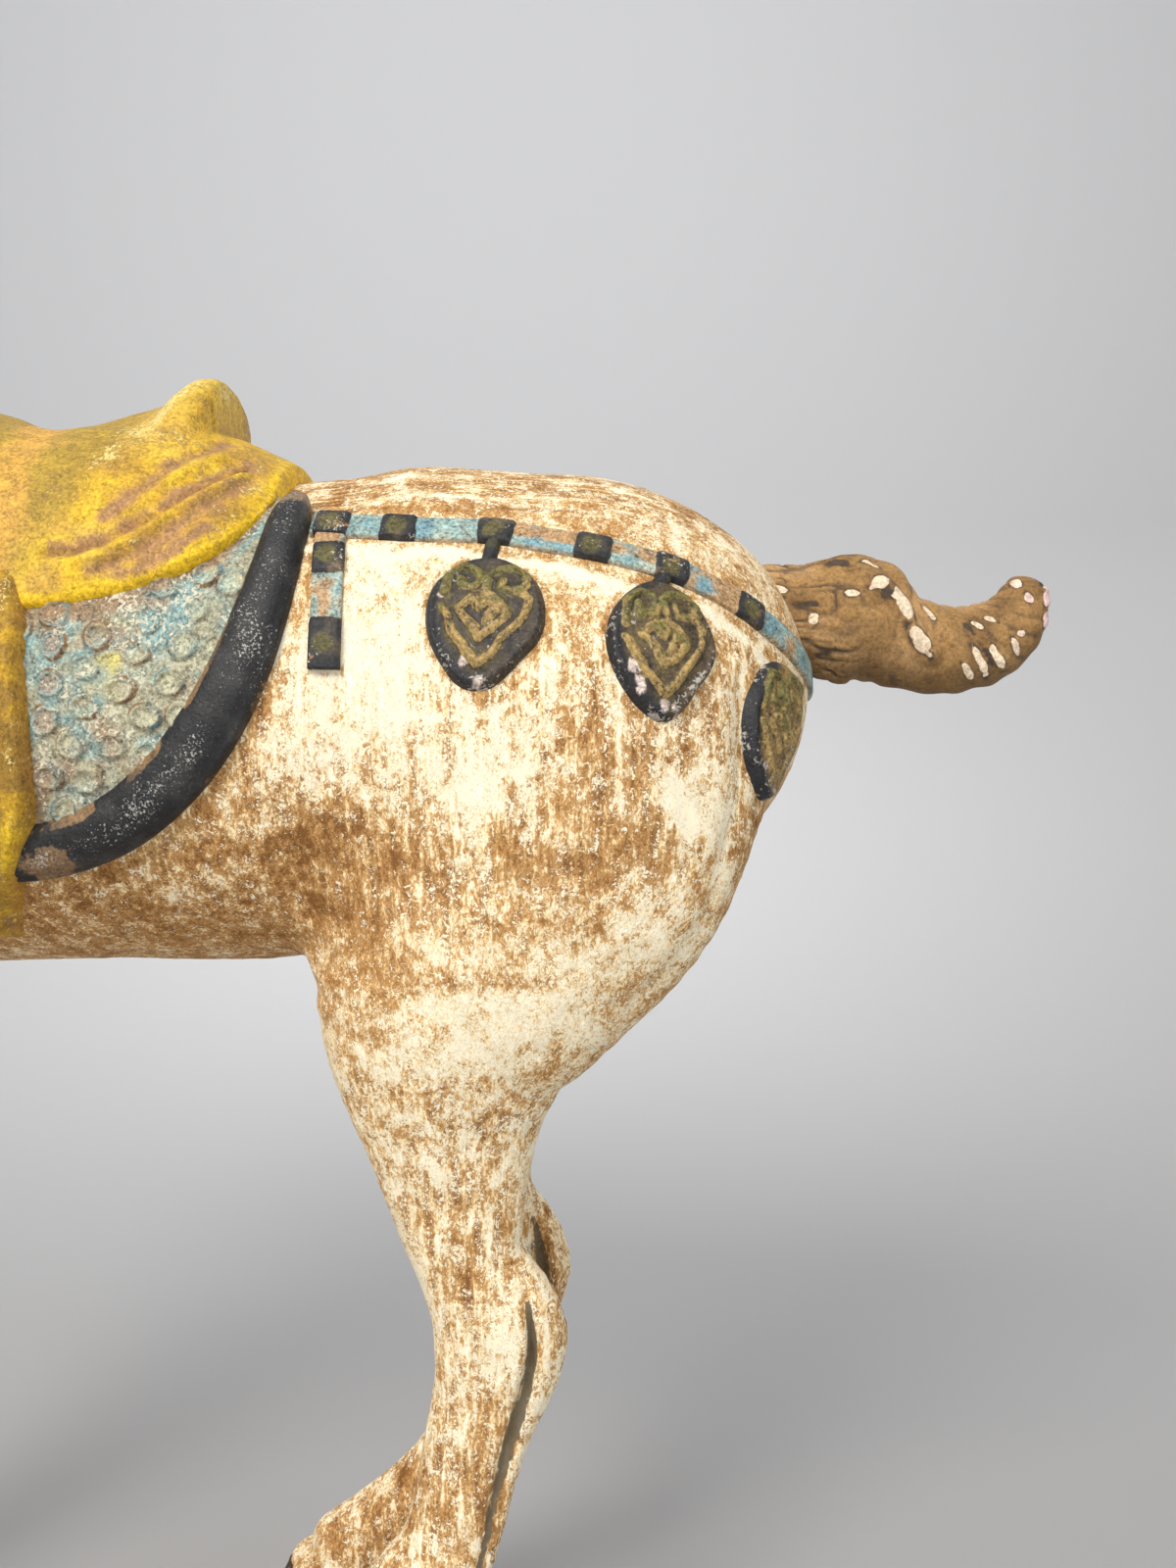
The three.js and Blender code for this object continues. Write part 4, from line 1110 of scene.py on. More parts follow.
def roll_paint(p, s, far):
    """Black, worn brown at the tips, along both edges and at the foot."""
    tips = 1 - smoothstep(np.minimum(s, s.max() - s), 6, 26)
    foot = ridge(np.abs(p[:, 0] - SADDLE["centre"]) - 22, 17) * smoothstep(-far, -7, -3)
    inner = smoothstep(far, 6.6, 9) * patches(p, 12, 77, -0.4, 0.2)
    outer = smoothstep(-far, 8.4, 10) * patches(p, 16, 78, -0.2, 0.4)
    worn = np.max([tips, foot, inner, 0.8 * outer], axis=0)
    worn = worn + 0.35 * noise(p, 8, 76) + 0.2 * noise(p, 3, 75)
    colour = coloured(len(p), (30, 31, 34), ((54, 54, 53), patches(p, 9, 73, 0, 0.8)))
    brown = patches(p, 6, 74, -0.1, 0.5)
    marks = coloured(len(p), (132, 104, 72), ((92, 76, 60), brown))
    flecks = 0.11 * ridge(far, 10) + 0.06 * noise(p, 18, 79) - 0.03
    return painted(colour, 0.16, flecks, worn - 0.15, marks)


def roll_pieces(skin, material, steps):
    """The thick rolls round the rug's edges, pointed at both ends."""
    path = roll_path(steps)
    route = skin.left_skin(path[:, 0], path[:, 1])
    t = np.linspace(0, 1, len(route))
    from_end = np.minimum(t, 1 - t)
    grown = np.clip(from_end / ROLL["taper"], 0, 1)
    width = ROLL["end_width"] + (ROLL["width"] - ROLL["end_width"]) * np.sin(grown * np.pi / 2)
    ends = quarter_round(from_end, 0.04)
    profile = rounded_profile(20, 2.3)
    thick = ROLL["thick"] * ends + 0.3
    p, faces, s, far = band(skin, route, width * (0.35 + 0.65 * ends), thick, profile)
    out = np.repeat(skin.set_down(route)[1], len(profile), axis=0)
    lumps = 0.5 * noise(p, 16, 71) + 0.3 * noise(p, 6, 72) - 0.9 * ridge(far + 7.2, 1.6)
    p = p + out * lumps[:, None]
    pair("rug_roll", p, faces, material, roll_paint(p, s, far))


BLUE = (136, 162, 158)
TAN = (174, 140, 100)
DARK = (42, 43, 45)
OLIVE = (92, 86, 48)
BLOCK = dict(half_length=6.4, half_width=7.4, height=1.2)


def over_blocks(blocks, s, far):
    """0 in the middle of the nearest block, 1 at its edge, and how far along that middle is."""
    gaps = np.array([s - place for place, _ in blocks] or [s * 0 + FAR_OFF])
    halves = np.array([half for _, half in blocks] or [1.0]).reshape(-1, *[1] * s.ndim)
    shares = np.abs(gaps) / halves
    least = np.argmin(shares, axis=0)[None]
    share, gap = (np.take_along_axis(values, least, 0)[0] for values in (shares, gaps))
    wavy = far + 0.5 * np.sin(0.9 * s)
    return (share**5 + np.abs(wavy / BLOCK["half_width"]) ** 5) ** 0.2, gap


def strap_paint(p, far, width, blocks, worn_at):
    """Blue, tan where it is worn and at the edges, its blocks dark with an olive spot each."""
    within, gap = blocks
    blotches = noise(p, 8, 81) + 0.6 * noise(p, 3.2, 82)
    colour = coloured(
        len(p), BLUE,
        ((180, 188, 172), smoothstep(blotches, -0.1, 0.8)),
        ((112, 152, 164), 0.8 * smoothstep(-blotches, 0.1, 0.8)),
        (TAN, smoothstep(worn_at(p, far) + 0.35 * blotches, 0.38, 0.66)),
        (TAN, 0.5 * (1 - smoothstep(width / 2 - np.abs(far), 0.1, 0.8))),
    )
    spot = np.hypot(gap + 0.8, 0.9 * (far - 0.6)) + 0.9 * noise(p, 3, 83)
    marks = coloured(
        len(p), DARK,
        ((96, 84, 70), patches(p, 7, 84, 0.1, 0.7)),
        (OLIVE, 0.95 * (1 - smoothstep(spot, 3.0, 4.0))),
    )
    return painted(colour, 0.28, 0.06, 0.5 + 4 * (1 + 0.05 * noise(p, 3, 85) - within), marks)


def strap_piece(skin, name, route, blocks, worn_at, material, make=piece, width=STRAP["width"]):
    """A strap with raised dark blocks, given as places and half lengths. Its blue is worn off
    where worn_at says. It is made as one piece or a pair."""
    sat = skin.set_down(route)[0]
    stops = lengths_along(sat)
    blocks = [(stops[np.argmin(np.linalg.norm(sat - place, axis=1))], half) for place, half in blocks]

    def raised(s, far):
        return BLOCK["height"] * (1 - smoothstep(over_blocks(blocks, s, far)[0], 0.84, 1.04))

    profile = rounded_profile(15, 5)
    p, faces, s, far = band(skin, route, width, STRAP["thick"], profile, raised)
    paint = strap_paint(p, far, width, over_blocks(blocks, s, far), worn_at)
    make(name, p, faces, material, paint)


def over_both_sides(route):
    """A route that ends at the middle, with its mirror image added on the right side."""
    return np.vstack([route, (route * [1, -1, 1])[-2::-1]])


# The blocks on the straps: x along the crupper and the breast strap, and z and half length down
# the hanging strap
CRUPPER_BLOCKS = [144, 168, 202, 236.7, 264.6, 293.5]
BREAST_BLOCKS = [-76, -104, -132, -160]
HANGING_BLOCKS = [(465.6, 6.6), (434.8, 10)]
# How bare the crupper is at some x
CRUPPER_WEAR = [
    (205, 0.2), (212, 0.85), (228, 0.85), (240, 0.4), (272, 0.62), (284, 0.8), (300, 0.55),
    (312, 0.3),
]
# The pendants that hang from a block by a short neck: their number, and the block's x
NECKS = {1: 202, 2: 264.6, 4: -104}
NECK_WIDTH = 5.5


def nearest_to(route, axis, value):
    """The point of a route that comes nearest to a value on an axis."""
    return route[np.argmin(np.abs(route[:, axis] - value))]


def blocks_on(route, xs):
    """The blocks on a strap at each x, on both of its sides."""
    halves = route[route[:, 1] <= 0], route[route[:, 1] > 0]
    return [(nearest_to(half, 0, x), BLOCK["half_length"]) for x in xs for half in halves]


def crupper_wear(p, far):
    bare = np.interp(p[:, 0], *np.array(CRUPPER_WEAR).T)
    return bare - 0.55 * smoothstep(far, 0.8, 2.6) * (p[:, 0] < 260)


def breast_wear(p, far):
    return np.full(len(p), 0.35)


def hanging_wear(p, far):
    return 0.42 - 0.05 * np.abs(far) + 0.5 * smoothstep(p[:, 2], 466, 472)


def bridle_wear(p, far):
    return np.full(len(p), 0.4)


def pendant_necks(skin, number, start, material, spacing):
    """The short necks of a pair of pendants, from a block down to the leaf."""
    end = np.array(SIDE_PENDANTS[number - 1], float) + [0, 0, 0.5 * PENDANT["height"] - 2]
    route = evenly([start, (start + end) / 2, end], spacing)
    p, faces, _, _ = band(skin, route, NECK_WIDTH, PENDANT["rim"], rounded_profile(11, 2.2))
    colour = coloured(len(p), DARK, (OLIVE, 0.4 * patches(p, 4, 86, 0, 0.5)))
    pair(f"pendant_neck_{number}", p, faces, material, painted(colour, 0.2, 0.05))


def harness(skin, material, spacing):
    """Crupper, breast strap, the straps that hang from the crupper, and the pendants' necks."""
    crupper, breast, hanging = (evenly(q, spacing) for q in (CRUPPER, BREAST_STRAP, HANGING_STRAP))
    for name, line, xs, worn_at in (
        ("crupper", crupper, CRUPPER_BLOCKS, crupper_wear),
        ("breast_strap", breast, BREAST_BLOCKS, breast_wear),
    ):
        route = over_both_sides(line)
        strap_piece(skin, name, route, blocks_on(route, xs), worn_at, material)
    blocks = [(nearest_to(hanging, 2, z), half) for z, half in HANGING_BLOCKS]
    strap_piece(skin, "hanging_strap", hanging, blocks, hanging_wear, material, pair)
    for number, x in NECKS.items():
        start = nearest_to(crupper if x > 0 else breast, 0, x)
        pendant_necks(skin, number, start, material, spacing)


BRIDLE_WIDTH = 8
BRIDLE_LOOPS = {
    "noseband": dict(x=-240, z=608, deep=28, wide=24, tilt=-0.72),
    "headband": dict(x=-186, z=662, deep=40, wide=30, tilt=-0.16),
}
CHEEK_STRAP = [(-241, -20, 611), (-219, -25, 634), (-196, -28, 664)]


def loop_route(x, z, deep, wide, tilt):
    """A tilted oval round the head."""
    angle = np.linspace(0, 2 * np.pi, 97)
    flat = deep * np.cos(angle)
    oval = [x + flat * np.cos(tilt), wide * np.sin(angle), z + flat * np.sin(tilt)]
    return np.stack(oval, axis=1)


def bridle(skin, material, spacing):
    """Noseband, headband and cheek straps on the head."""
    for name, loop in BRIDLE_LOOPS.items():
        strap_piece(skin, name, loop_route(**loop), [], bridle_wear, material, width=BRIDLE_WIDTH)
    cheek = evenly(CHEEK_STRAP, spacing)
    strap_piece(skin, "cheek_strap", cheek, [], bridle_wear, material, pair, BRIDLE_WIDTH)


# Pendants

# A pendant's outline and the scrollwork on it, in shares of its half width and half height
LEAF = [
    (1.0, 0.04), (0.88, 0.45), (0.64, 0.76), (0.24, 0.97), (-0.2, 0.97), (-0.62, 0.76),
    (-0.93, 0.43), (-1.0, 0.1), (-0.93, -0.26), (-0.74, -0.58), (-0.5, -0.86), (-0.2, -1.0),
    (0.1, -0.99), (0.32, -0.84), (0.6, -0.55), (0.95, -0.24),
]
SCROLLWORK = [
    [(-0.71, 0.08), (-0.55, -0.21), (-0.33, -0.46), (-0.1, -0.65), (0.11, -0.53), (0.38, -0.26),
     (0.63, -0.01), (0.69, 0.23), (0.55, 0.36)],
    [(-0.66, 0.30), (-0.6, 0.64), (-0.38, 0.77), (-0.14, 0.70), (-0.08, 0.53), (-0.22, 0.42),
     (-0.42, 0.45), (-0.42, 0.57)],
    [(0.03, 0.38), (0.05, 0.60), (0.22, 0.72), (0.44, 0.73), (0.62, 0.6), (0.62, 0.45),
     (0.47, 0.38), (0.27, 0.42), (0.27, 0.53)],
    [(-0.44, 0.11), (-0.27, -0.06), (-0.11, -0.31), (0.11, -0.21), (0.33, 0.03), (0.22, 0.23),
     (0, 0.33), (-0.27, 0.26), (-0.44, 0.11)],
    [(-0.2, 0.22), (-0.1, 0.08), (0.02, 0.2), (0.16, 0.1), (0.05, -0.02), (0.0, -0.12)],
]
# How far the leaves have faded, and their chips as u, v and size, in the order of SIDE_PENDANTS
PENDANT_LOOKS = [
    (0.15, [(-0.32, -0.62, 2.2), (-0.1, -0.9, 2.6), (-0.74, 0.3, 1.4)]),
    (0.3, [(-0.62, -0.28, 3.6), (-0.48, -0.55, 4.4), (-0.15, -0.82, 4.6), (0.1, -0.86, 3)]),
    (1.0, [(-0.42, -0.35, 3.4), (-0.5, -0.5, 2.6)]),
    (0.3, [(0.3, -0.6, 2.6)]),
    (0.5, [(-0.4, 0.2, 2.2)]),
]
CHEST_LOOK = (0.3, [])
PENDANT_SUNK = 1.5
# The seed of the first leaf's noise, the step to the next leaf's, and the chest's
LEAF_SEEDS = dict(first=100, step=10, chest=160)


def leaf_reach(angle):
    """How far a pendant's outline is from its middle at each angle."""
    corners = np.array(LEAF)
    turns, radii = np.arctan2(corners[:, 1], corners[:, 0]), np.hypot(*corners.T)
    around = [np.interp(angle + shift, turns, radii, period=2 * np.pi) for shift in (-0.12, 0, 0.12)]
    return np.mean(around, axis=0)


def scroll_gap(u, v, half, seed):
    """How far places on a leaf are from its scrollwork, in mm."""
    spread = np.stack([u, v, 0 * u], axis=1)
    across = (u + 0.05 * noise(spread, 0.35, seed + 1)) * half[0]
    upwards = (v + 0.05 * noise(spread, 0.35, seed + 6)) * half[1]
    paths = [[(a * half[0], b * half[1]) for a, b in path] for path in SCROLLWORK]
    return np.min([distance_to(path, across, upwards) for path in paths], axis=0)


def pendant_paint(p, u, v, half, inside, gap, look, seed):
    """Near black with olive between the scrolls, which are tan, faded at one side and chipped, with
    painted shadow beside the scrolls and a painted sheen in the flecks near the rim.
    """
    faded, chips = look
    uneven = noise(p, 3.2, seed + 3) + 0.6 * noise(p, 1.4, seed + 4)
    olive = smoothstep(noise(p, 8, seed + 5) + 0.3, 0.0, 0.5) * smoothstep(inside, 3.4, 5)
    olive *= smoothstep(gap, 4.6, 2.4)
    fading = faded * smoothstep(inside + 6 * smoothstep(u, -0.6, 0.4), 3.5, 7)
    white = np.zeros(len(p))
    for cu, cv, size in chips:
        close = 1 - np.hypot((u - cu) * half[0], (v - cv) * half[1]) / size
        white = np.maximum(white, smoothstep(close + 0.5 * uneven, 0.25, 0.45))
    colour = coloured(
        len(p), (34, 35, 40),
        ((90, 82, 46), 0.9 * olive * smoothstep(uneven, -0.7, 0.3)),
        # painted shadow beside the raised scrolls
        ((30, 30, 32), 0.8 * ridge(gap - 3.2, 1.6)),
        ((136, 112, 68), fading * smoothstep(uneven, -1.3, -0.3)),
        ((222, 204, 194), 0.9 * white),
    )
    greener = smoothstep(v + 0.6 * uneven, 0.1, 0.5)
    tan = coloured(len(p), (158, 132, 80), ((112, 104, 54), greener))
    mark = 0.5 + (1.6 - gap) / 1.4 - 0.16 * smoothstep(-uneven, 0.2, 1.2)
    # Pale flecks near the rim: light chips, and a painted sheen
    rim_chips_and_sheen = smoothstep(inside, 6, 3) * patches(p, 9, seed + 7, -0.3, 0.4)
    return painted(colour, 0.2, 0.1 * rim_chips_and_sheen, mark, tan)


def leaf_faces(rings, sides):
    """The faces of a leaf's front, closed by a fan to one point behind it."""
    last = (rings - 1) * sides
    front = grid_quads(rings, sides, closed=True) + [list(range(sides))[::-1]]
    return front + [[last + sides, last + (k + 1) % sides, last + k] for k in range(sides)]


def pendant_piece(skin, name, centre, look, seed, make, material, rings, sides):
    """A leaf-shaped pendant with raised scrollwork, made as one piece or a pair. Its look is its
    fading and its chips."""
    point, out, up, across = leaf_frame(skin, centre)
    rows = np.sin(np.linspace(0.03, 1, rings) * np.pi / 2)
    share, angle = grid(rows, np.arange(sides) / sides * 2 * np.pi)
    c, s = np.cos(angle), np.sin(angle)
    wobble = 1 + 0.03 * noise(np.stack([2 * c, 2 * s, 0 * c], axis=1), 1, seed)
    far = share * wobble * leaf_reach(angle)
    u, v = far * c, far * s
    half = PENDANT["width"] / 2, PENDANT["height"] / 2
    flat = point + across * (u * half[0])[:, None] + up * (v * half[1])[:, None]
    base = skin.set_down(flat)[0]
    gap = scroll_gap(u, v, half, seed)
    inside = (1 - share) * half[0]
    dome = PENDANT["rim"] + (PENDANT["thick"] - PENDANT["rim"]) * (1 - share**2)
    body = dome + 1.3 * (1 - smoothstep(gap, 0.5, 1.9)) - 0.6 + 0.8 * ridge(inside - 2.0, 2.8)
    body += 0.4 * noise(base, 4, seed + 2)
    lift = -PENDANT_SUNK + (body + PENDANT_SUNK) * quarter_round(inside, 2.6)
    points = base + out * lift[:, None]
    attributes = pendant_paint(points, u, v, half, inside, gap, look, seed)
    attributes = {key: np.concatenate([value, value[-1:]]) for key, value in attributes.items()}
    points = np.vstack([points, point - out * SINK])
    make(name, points, leaf_faces(rings, sides), material, attributes)


def pendants(skin, material, rings, sides):
    """All leaves: the numbered ones on both sides, and the chest's in the middle."""
    for i, (centre, look) in enumerate(zip(SIDE_PENDANTS, PENDANT_LOOKS)):
        seed = LEAF_SEEDS["first"] + LEAF_SEEDS["step"] * i
        pendant_piece(skin, f"pendant_{i + 1}", centre, look, seed, pair, material, rings, sides)
    chest = CHEST_PENDANT, CHEST_LOOK, LEAF_SEEDS["chest"]
    pendant_piece(skin, "pendant_chest", *chest, piece, material, rings, sides)


# Tail and mane

def with_tips(limb):
    """A limb's stations, with one more at both ends, where its rounded caps end."""
    caps, *stations = limb
    rows = np.array(stations, float)
    tips = []
    for end, inner, cap in ((rows[0], rows[1], caps[0]), (rows[-1], rows[-2], caps[1])):
        way = end[:3] - inner[:3]
        tip = end.copy()
        tip[:3] += cap * way / np.linalg.norm(way)
        tips.append(tip)
    return np.vstack([tips[0], rows, tips[1]])


def smoothed(values, reach):
    """Values along a line, each averaged with its neighbours."""
    weights = np.hanning(2 * reach + 3)[1:-1]
    weights = weights / weights.sum()
    padded = np.pad(values, ((reach, reach), (0, 0)), mode="edge")
    return np.stack([np.convolve(column, weights, "valid") for column in padded.T], axis=1)


def limb_tube(limb, rings, sides, shape):
    """A limb as a tube: its points in rings, the ways out, and each point's angle and share
    along. The shape is a factor on its size for an angle and a share."""
    s = with_tips(limb)
    t = np.linspace(0, 1, rings)
    spine = curve_points(s[:, [0, 2, 1]], t)
    tangent = smoothed(np.gradient(spine, axis=0), rings // 7)
    across = np.stack([tangent[:, 2], 0 * t, -tangent[:, 0]], axis=1)
    across /= np.linalg.norm(across, axis=1)[:, None]
    size = curve_points(s[:, 3:], t)
    angle = np.arange(sides) / sides * 2 * np.pi
    factor = shape(angle[None, :], t[:, None])
    points = spine[:, None] + across[:, None] * (size[:, :1] * factor * np.cos(angle))[..., None]
    points[..., 1] += size[:, 1:] * factor * np.sin(angle)
    points = points.reshape(-1, 3)
    out = normals_of(points, grid_quads(rings, sides, closed=True))
    return points, out, np.tile(angle, rings), np.repeat(t, sides)


def rounded_ends(t, first, last):
    """A factor that closes a tube's ends off in a dome."""
    return quarter_round(np.minimum(t / first, (1 - t) / last), 1, 0.002)


# The bound tail: the raised strand in side view, the knot, the ridges that wind round the tip, and
# the chips where its paint shows white, as x, z, half length, half width and slope in degrees
STRAND = [(345, 474), (351, 468), (358, 459), (364, 449), (371, 440)]
KNOT = (343, 0, 477)
WINDING = dict(start=0.44, turn=24, ridges=5)
TAIL_CHIPS = [
    (350.3, 466.9, 4.5, 2.2, 0), (358.4, 458.8, 8, 3.2, -62), (365.7, 444.8, 7.5, 2.6, -52),
    (347.9, 475.5, 3.8, 1.9, -12), (323.9, 453.5, 3, 2.2, 80), (338.9, 463.3, 2.8, 1.5, 0),
    (310.6, 465.3, 3.6, 1.5, -10), (370.6, 456.4, 3.6, 1.3, -50), (386.3, 432.8, 4.4, 1.7, -52),
    (390.8, 437, 6.6, 1.9, -58), (397.8, 438.6, 6, 1.8, -54), (405.6, 442.4, 4.2, 1.4, -58),
    (390.3, 451, 3.2, 1.2, -25), (395.2, 453.4, 3, 1.3, -20), (411, 462.4, 2.2, 1.7, -60),
    (407.3, 468.5, 2, 1.7, 0), (407.5, 448, 1.8, 1.2, 0), (420, 464, 5.5, 2.4, 80),
    (420, 455, 4, 2.2, 70),
]
TAIL_STAINS = [
    (353, 463, 5, 2.6, -60), (386.4, 450, 4, 1.2, -50), (335.7, 476.4, 5.5, 2.4, 0),
    (394, 439, 6, 1.4, -56), (418, 470, 2.6, 2, 0), (368, 441, 4, 2, -50), (322, 459, 7, 1.6, 0),
    (309, 462, 8, 1.5, 0),
]
# How far from the tail's middle plane its marks begin, so that they aren't drawn right across
MARKS_FROM = 3


def spread_over(marks, x, z):
    """How far inside the nearest of some slanting ovals places are: 1 at a middle, 0 at a rim."""
    inside = np.full(len(x), -NOT_NEAR)
    for cx, cz, length, width, slope in marks:
        turn = math.radians(slope)
        along = (x - cx) * math.cos(turn) + (z - cz) * math.sin(turn)
        across = (z - cz) * math.cos(turn) - (x - cx) * math.sin(turn)
        inside = np.maximum(inside, 1 - np.hypot(along / length, across / width))
    return inside


def tail_paint(p, out, first, hair, winding, chips):
    """Tan and brown, with painted shade in the grooves, between the winding's ridges and underneath,
    dark in the stains, and white in the chips, which are pinker at the tip. The first points are those
    without relief."""
    x, y, z = first.T
    ragged = noise(p, 3, 89) + 0.5 * noise(p, 1.5, 88)
    root, wound, ridges = winding
    grooved = root * (1 - smoothstep(hair, 0.04, 0.2)) * patches(p, 11, 97, -0.6, 0.2)
    stains = spread_over(TAIL_STAINS, x, z) + 0.4 * ragged
    stained = smoothstep(stains, 0.0, 0.3) * (np.abs(y) > MARKS_FROM)
    edged = ridge(chips + 0.12, 0.36) * smoothstep(ragged, -0.5, 0.2)
    hollow = wound * smoothstep(-ridges, 0.5, 1) * patches(p, 7, 99, 0.0, 0.4)
    # Painted shade in the root's grooves and between the winding's ridges
    dark = np.max([0.85 * grooved, 0.85 * stained, 0.9 * edged, 0.5 * hollow], axis=0)
    colour = coloured(
        len(p), (158, 122, 74),
        ((184, 146, 98), patches(p, 14, 95, -0.2, 0.6)),
        ((124, 92, 54), 0.8 * patches(p, 10, 96, 0.0, 0.6)),
        # painted shade on the tail's underside
        ((108, 82, 48), 0.7 * smoothstep(-out[:, 2], -0.1, 0.7)),
        ((56, 51, 47), dark),
    )
    white = 0.5 + 2.2 * (chips + 0.3 * ragged - 0.08)
    pale = coloured(len(p), (232, 212, 184), ((232, 200, 196), smoothstep(x, 402, 416)))
    return painted(colour, 0.2, 0, white, pale)


def tail_piece(material, rings, sides):
    """The bound tail: hair at its root, a knot with a raised strand, and a wound tip."""
    first, out, angle, t = limb_tube(TAIL, rings, sides, lambda _, t: rounded_ends(t, 0.04, 0.13))
    x, y, z = first.T
    along = np.stack([x * 0.16, 10 * np.cos(angle), 10 * np.sin(angle)], axis=1)
    hair = np.minimum(np.abs(noise(along, 1.5, 91)), 1.3 * np.abs(noise(along, 0.8, 92)) + 0.1)
    root = 1 - smoothstep(t, 0.32, 0.48)
    wound = smoothstep(t, WINDING["start"], WINDING["start"] + 0.08)
    turned = angle - WINDING["turn"] * (t - WINDING["start"]) + 0.15 * noise(first, 12, 87)
    ridges = np.cos(WINDING["ridges"] * turned) * wound
    strand = distance_to(STRAND, x, z)
    on_side = smoothstep(np.abs(y), 5, 9)
    knot = np.sqrt(((first - KNOT) ** 2).sum(1))
    chips = np.where(np.abs(y) > MARKS_FROM, spread_over(TAIL_CHIPS, x, z), -NOT_NEAR)
    lift = -1.1 * root * (1 - smoothstep(hair, 0.02, 0.26)) + 0.3 * ridges
    lift += on_side * (2.2 * ridge(strand, 5.5) - 1.2 * ridge(strand - 6, 2.6))
    lift += 1.8 * ridge(knot, 11) - 0.4 * ridge(knot - 11, 4)
    lift += noises(first, (0.35, 7, 93), (0.15, 3, 94)) + 0.4 * smoothstep(chips, 0, 0.2)
    lift = lift * smoothstep(t, 0, 0.03) * smoothstep(1 - t, 0, 0.06)
    p = first + out * lift[:, None]
    attributes = tail_paint(p, out, first, hair, (root, wound, ridges), chips)
    piece("tail", p, tube_faces(rings, sides), material, attributes)


LOCKS = dict(count=8, depth=0.14)


def mane_shape(angle, t):
    """The locks along the crest, and the mane's rounded ends."""
    locks = LOCKS["depth"] * np.cos(t * LOCKS["count"] * 2 * np.pi + 1.2 * np.abs(np.sin(angle)))
    return (1 + locks) * rounded_ends(t, 0.05, 0.1)


def mane_piece(material, rings, sides):
    """The clipped mane, with its hair as grooves across it."""
    p, out, angle, t = limb_tube(MANE, rings, sides, mane_shape)
    flow = np.stack([90 * t + 6 * np.abs(np.sin(angle)), 5 * np.cos(angle), 0 * t], axis=1)
    hair = np.minimum(np.abs(noise(flow, [1.6, 6, 1], 111)), np.abs(noise(flow, [1.1, 4, 1], 112)))
    lift = -1.0 * (1 - smoothstep(hair, 0.03, 0.3)) + 0.4 * noise(p, 8, 113)
    p = p + out * (lift * smoothstep(t, 0, 0.04) * smoothstep(1 - t, 0, 0.04))[:, None]
    colour = coloured(
        len(p), (172, 130, 84),
        ((226, 200, 160), 0.8 * patches(p, 12, 114, 0.0, 0.6)),
        # painted shade in the hair's grooves
        ((76, 64, 54), 0.7 * (1 - smoothstep(hair, 0.03, 0.18))),
    )
    piece("mane", p, tube_faces(rings, sides), material, painted(colour, 0.25))


# The plinth

# How far the grid round the slab goes past it
PLINTH_MARGIN = 3


def slab_field(x, y, z):
    """Distance to the plinth's slab, with its rounded corners and edges."""
    radius, corner = PLINTH["edge"], PLINTH["corner"]
    qx = np.maximum(np.abs(x) - PLINTH["length"] / 2 + corner, 0)
    qy = np.maximum(np.abs(y) - PLINTH["width"] / 2 + corner, 0)
    side = np.hypot(qx, qy) - corner + radius
    flat = np.abs(z - PLINTH["height"] / 2) - PLINTH["height"] / 2 + radius
    outside = np.hypot(np.maximum(side, 0), np.maximum(flat, 0))
    return outside + np.minimum(np.maximum(side, flat), 0) - radius


def plinth_piece(material, step):
    """The slab under the hooves, its edges chipped and its faces a little uneven."""
    def line(half):
        ends = half + PLINTH_MARGIN
        return np.linspace(-ends, ends, 2 * math.ceil(ends / step) + 1)

    zs = np.linspace(-PLINTH_MARGIN, PLINTH["height"] + PLINTH_MARGIN, 17)
    lines = [line(PLINTH["length"] / 2), line(PLINTH["width"] / 2), zs]
    d = slab_field(*grid(*lines)).reshape([len(a) for a in lines])
    points, quads = surface_of(Volume(lines, d))
    out = normals_of(points, quads)
    free = smoothstep(points[:, 2], 1, 4) * (1 - 0.85 * smoothstep(out[:, 2], 0.6, 0.9))
    on_edges = smoothstep(np.abs(out).min(1) * 3, 0.2, 1)
    chips = -1.6 * patches(points, 12, 121, 0.5, 0.9) * on_edges
    lift = (noises(points, (0.5, 26, 122), (0.2, 8, 123)) + chips) * free
    points = points + out * lift[:, None]
    points[:, 2] = np.clip(points[:, 2], 0, PLINTH["height"])
    zero = np.zeros(len(points))
    attributes = {"bare": 0.66 + 0.14 * noise(points, 40, 124), "streak": zero + 0.2}
    attributes |= {key: zero for key in ("lengthwise", "brushed", "grime", "black")}
    piece("plinth_slab", points, quads.tolist(), material, attributes, "plinth", "bare_clay")


# Materials

def rgba(colour):
    """A colour with full cover, as Blender's sockets take it."""
    return (*[float(c) for c in colour], 1.0)


def plain_material(name, specular):
    """A new material and its shader."""
    material = bpy.data.materials.new(name)
    material.use_nodes = True
    shader = next(n for n in material.node_tree.nodes if n.type == "BSDF_PRINCIPLED")
    shader.inputs["Specular IOR Level"].default_value = specular
    return material, shader


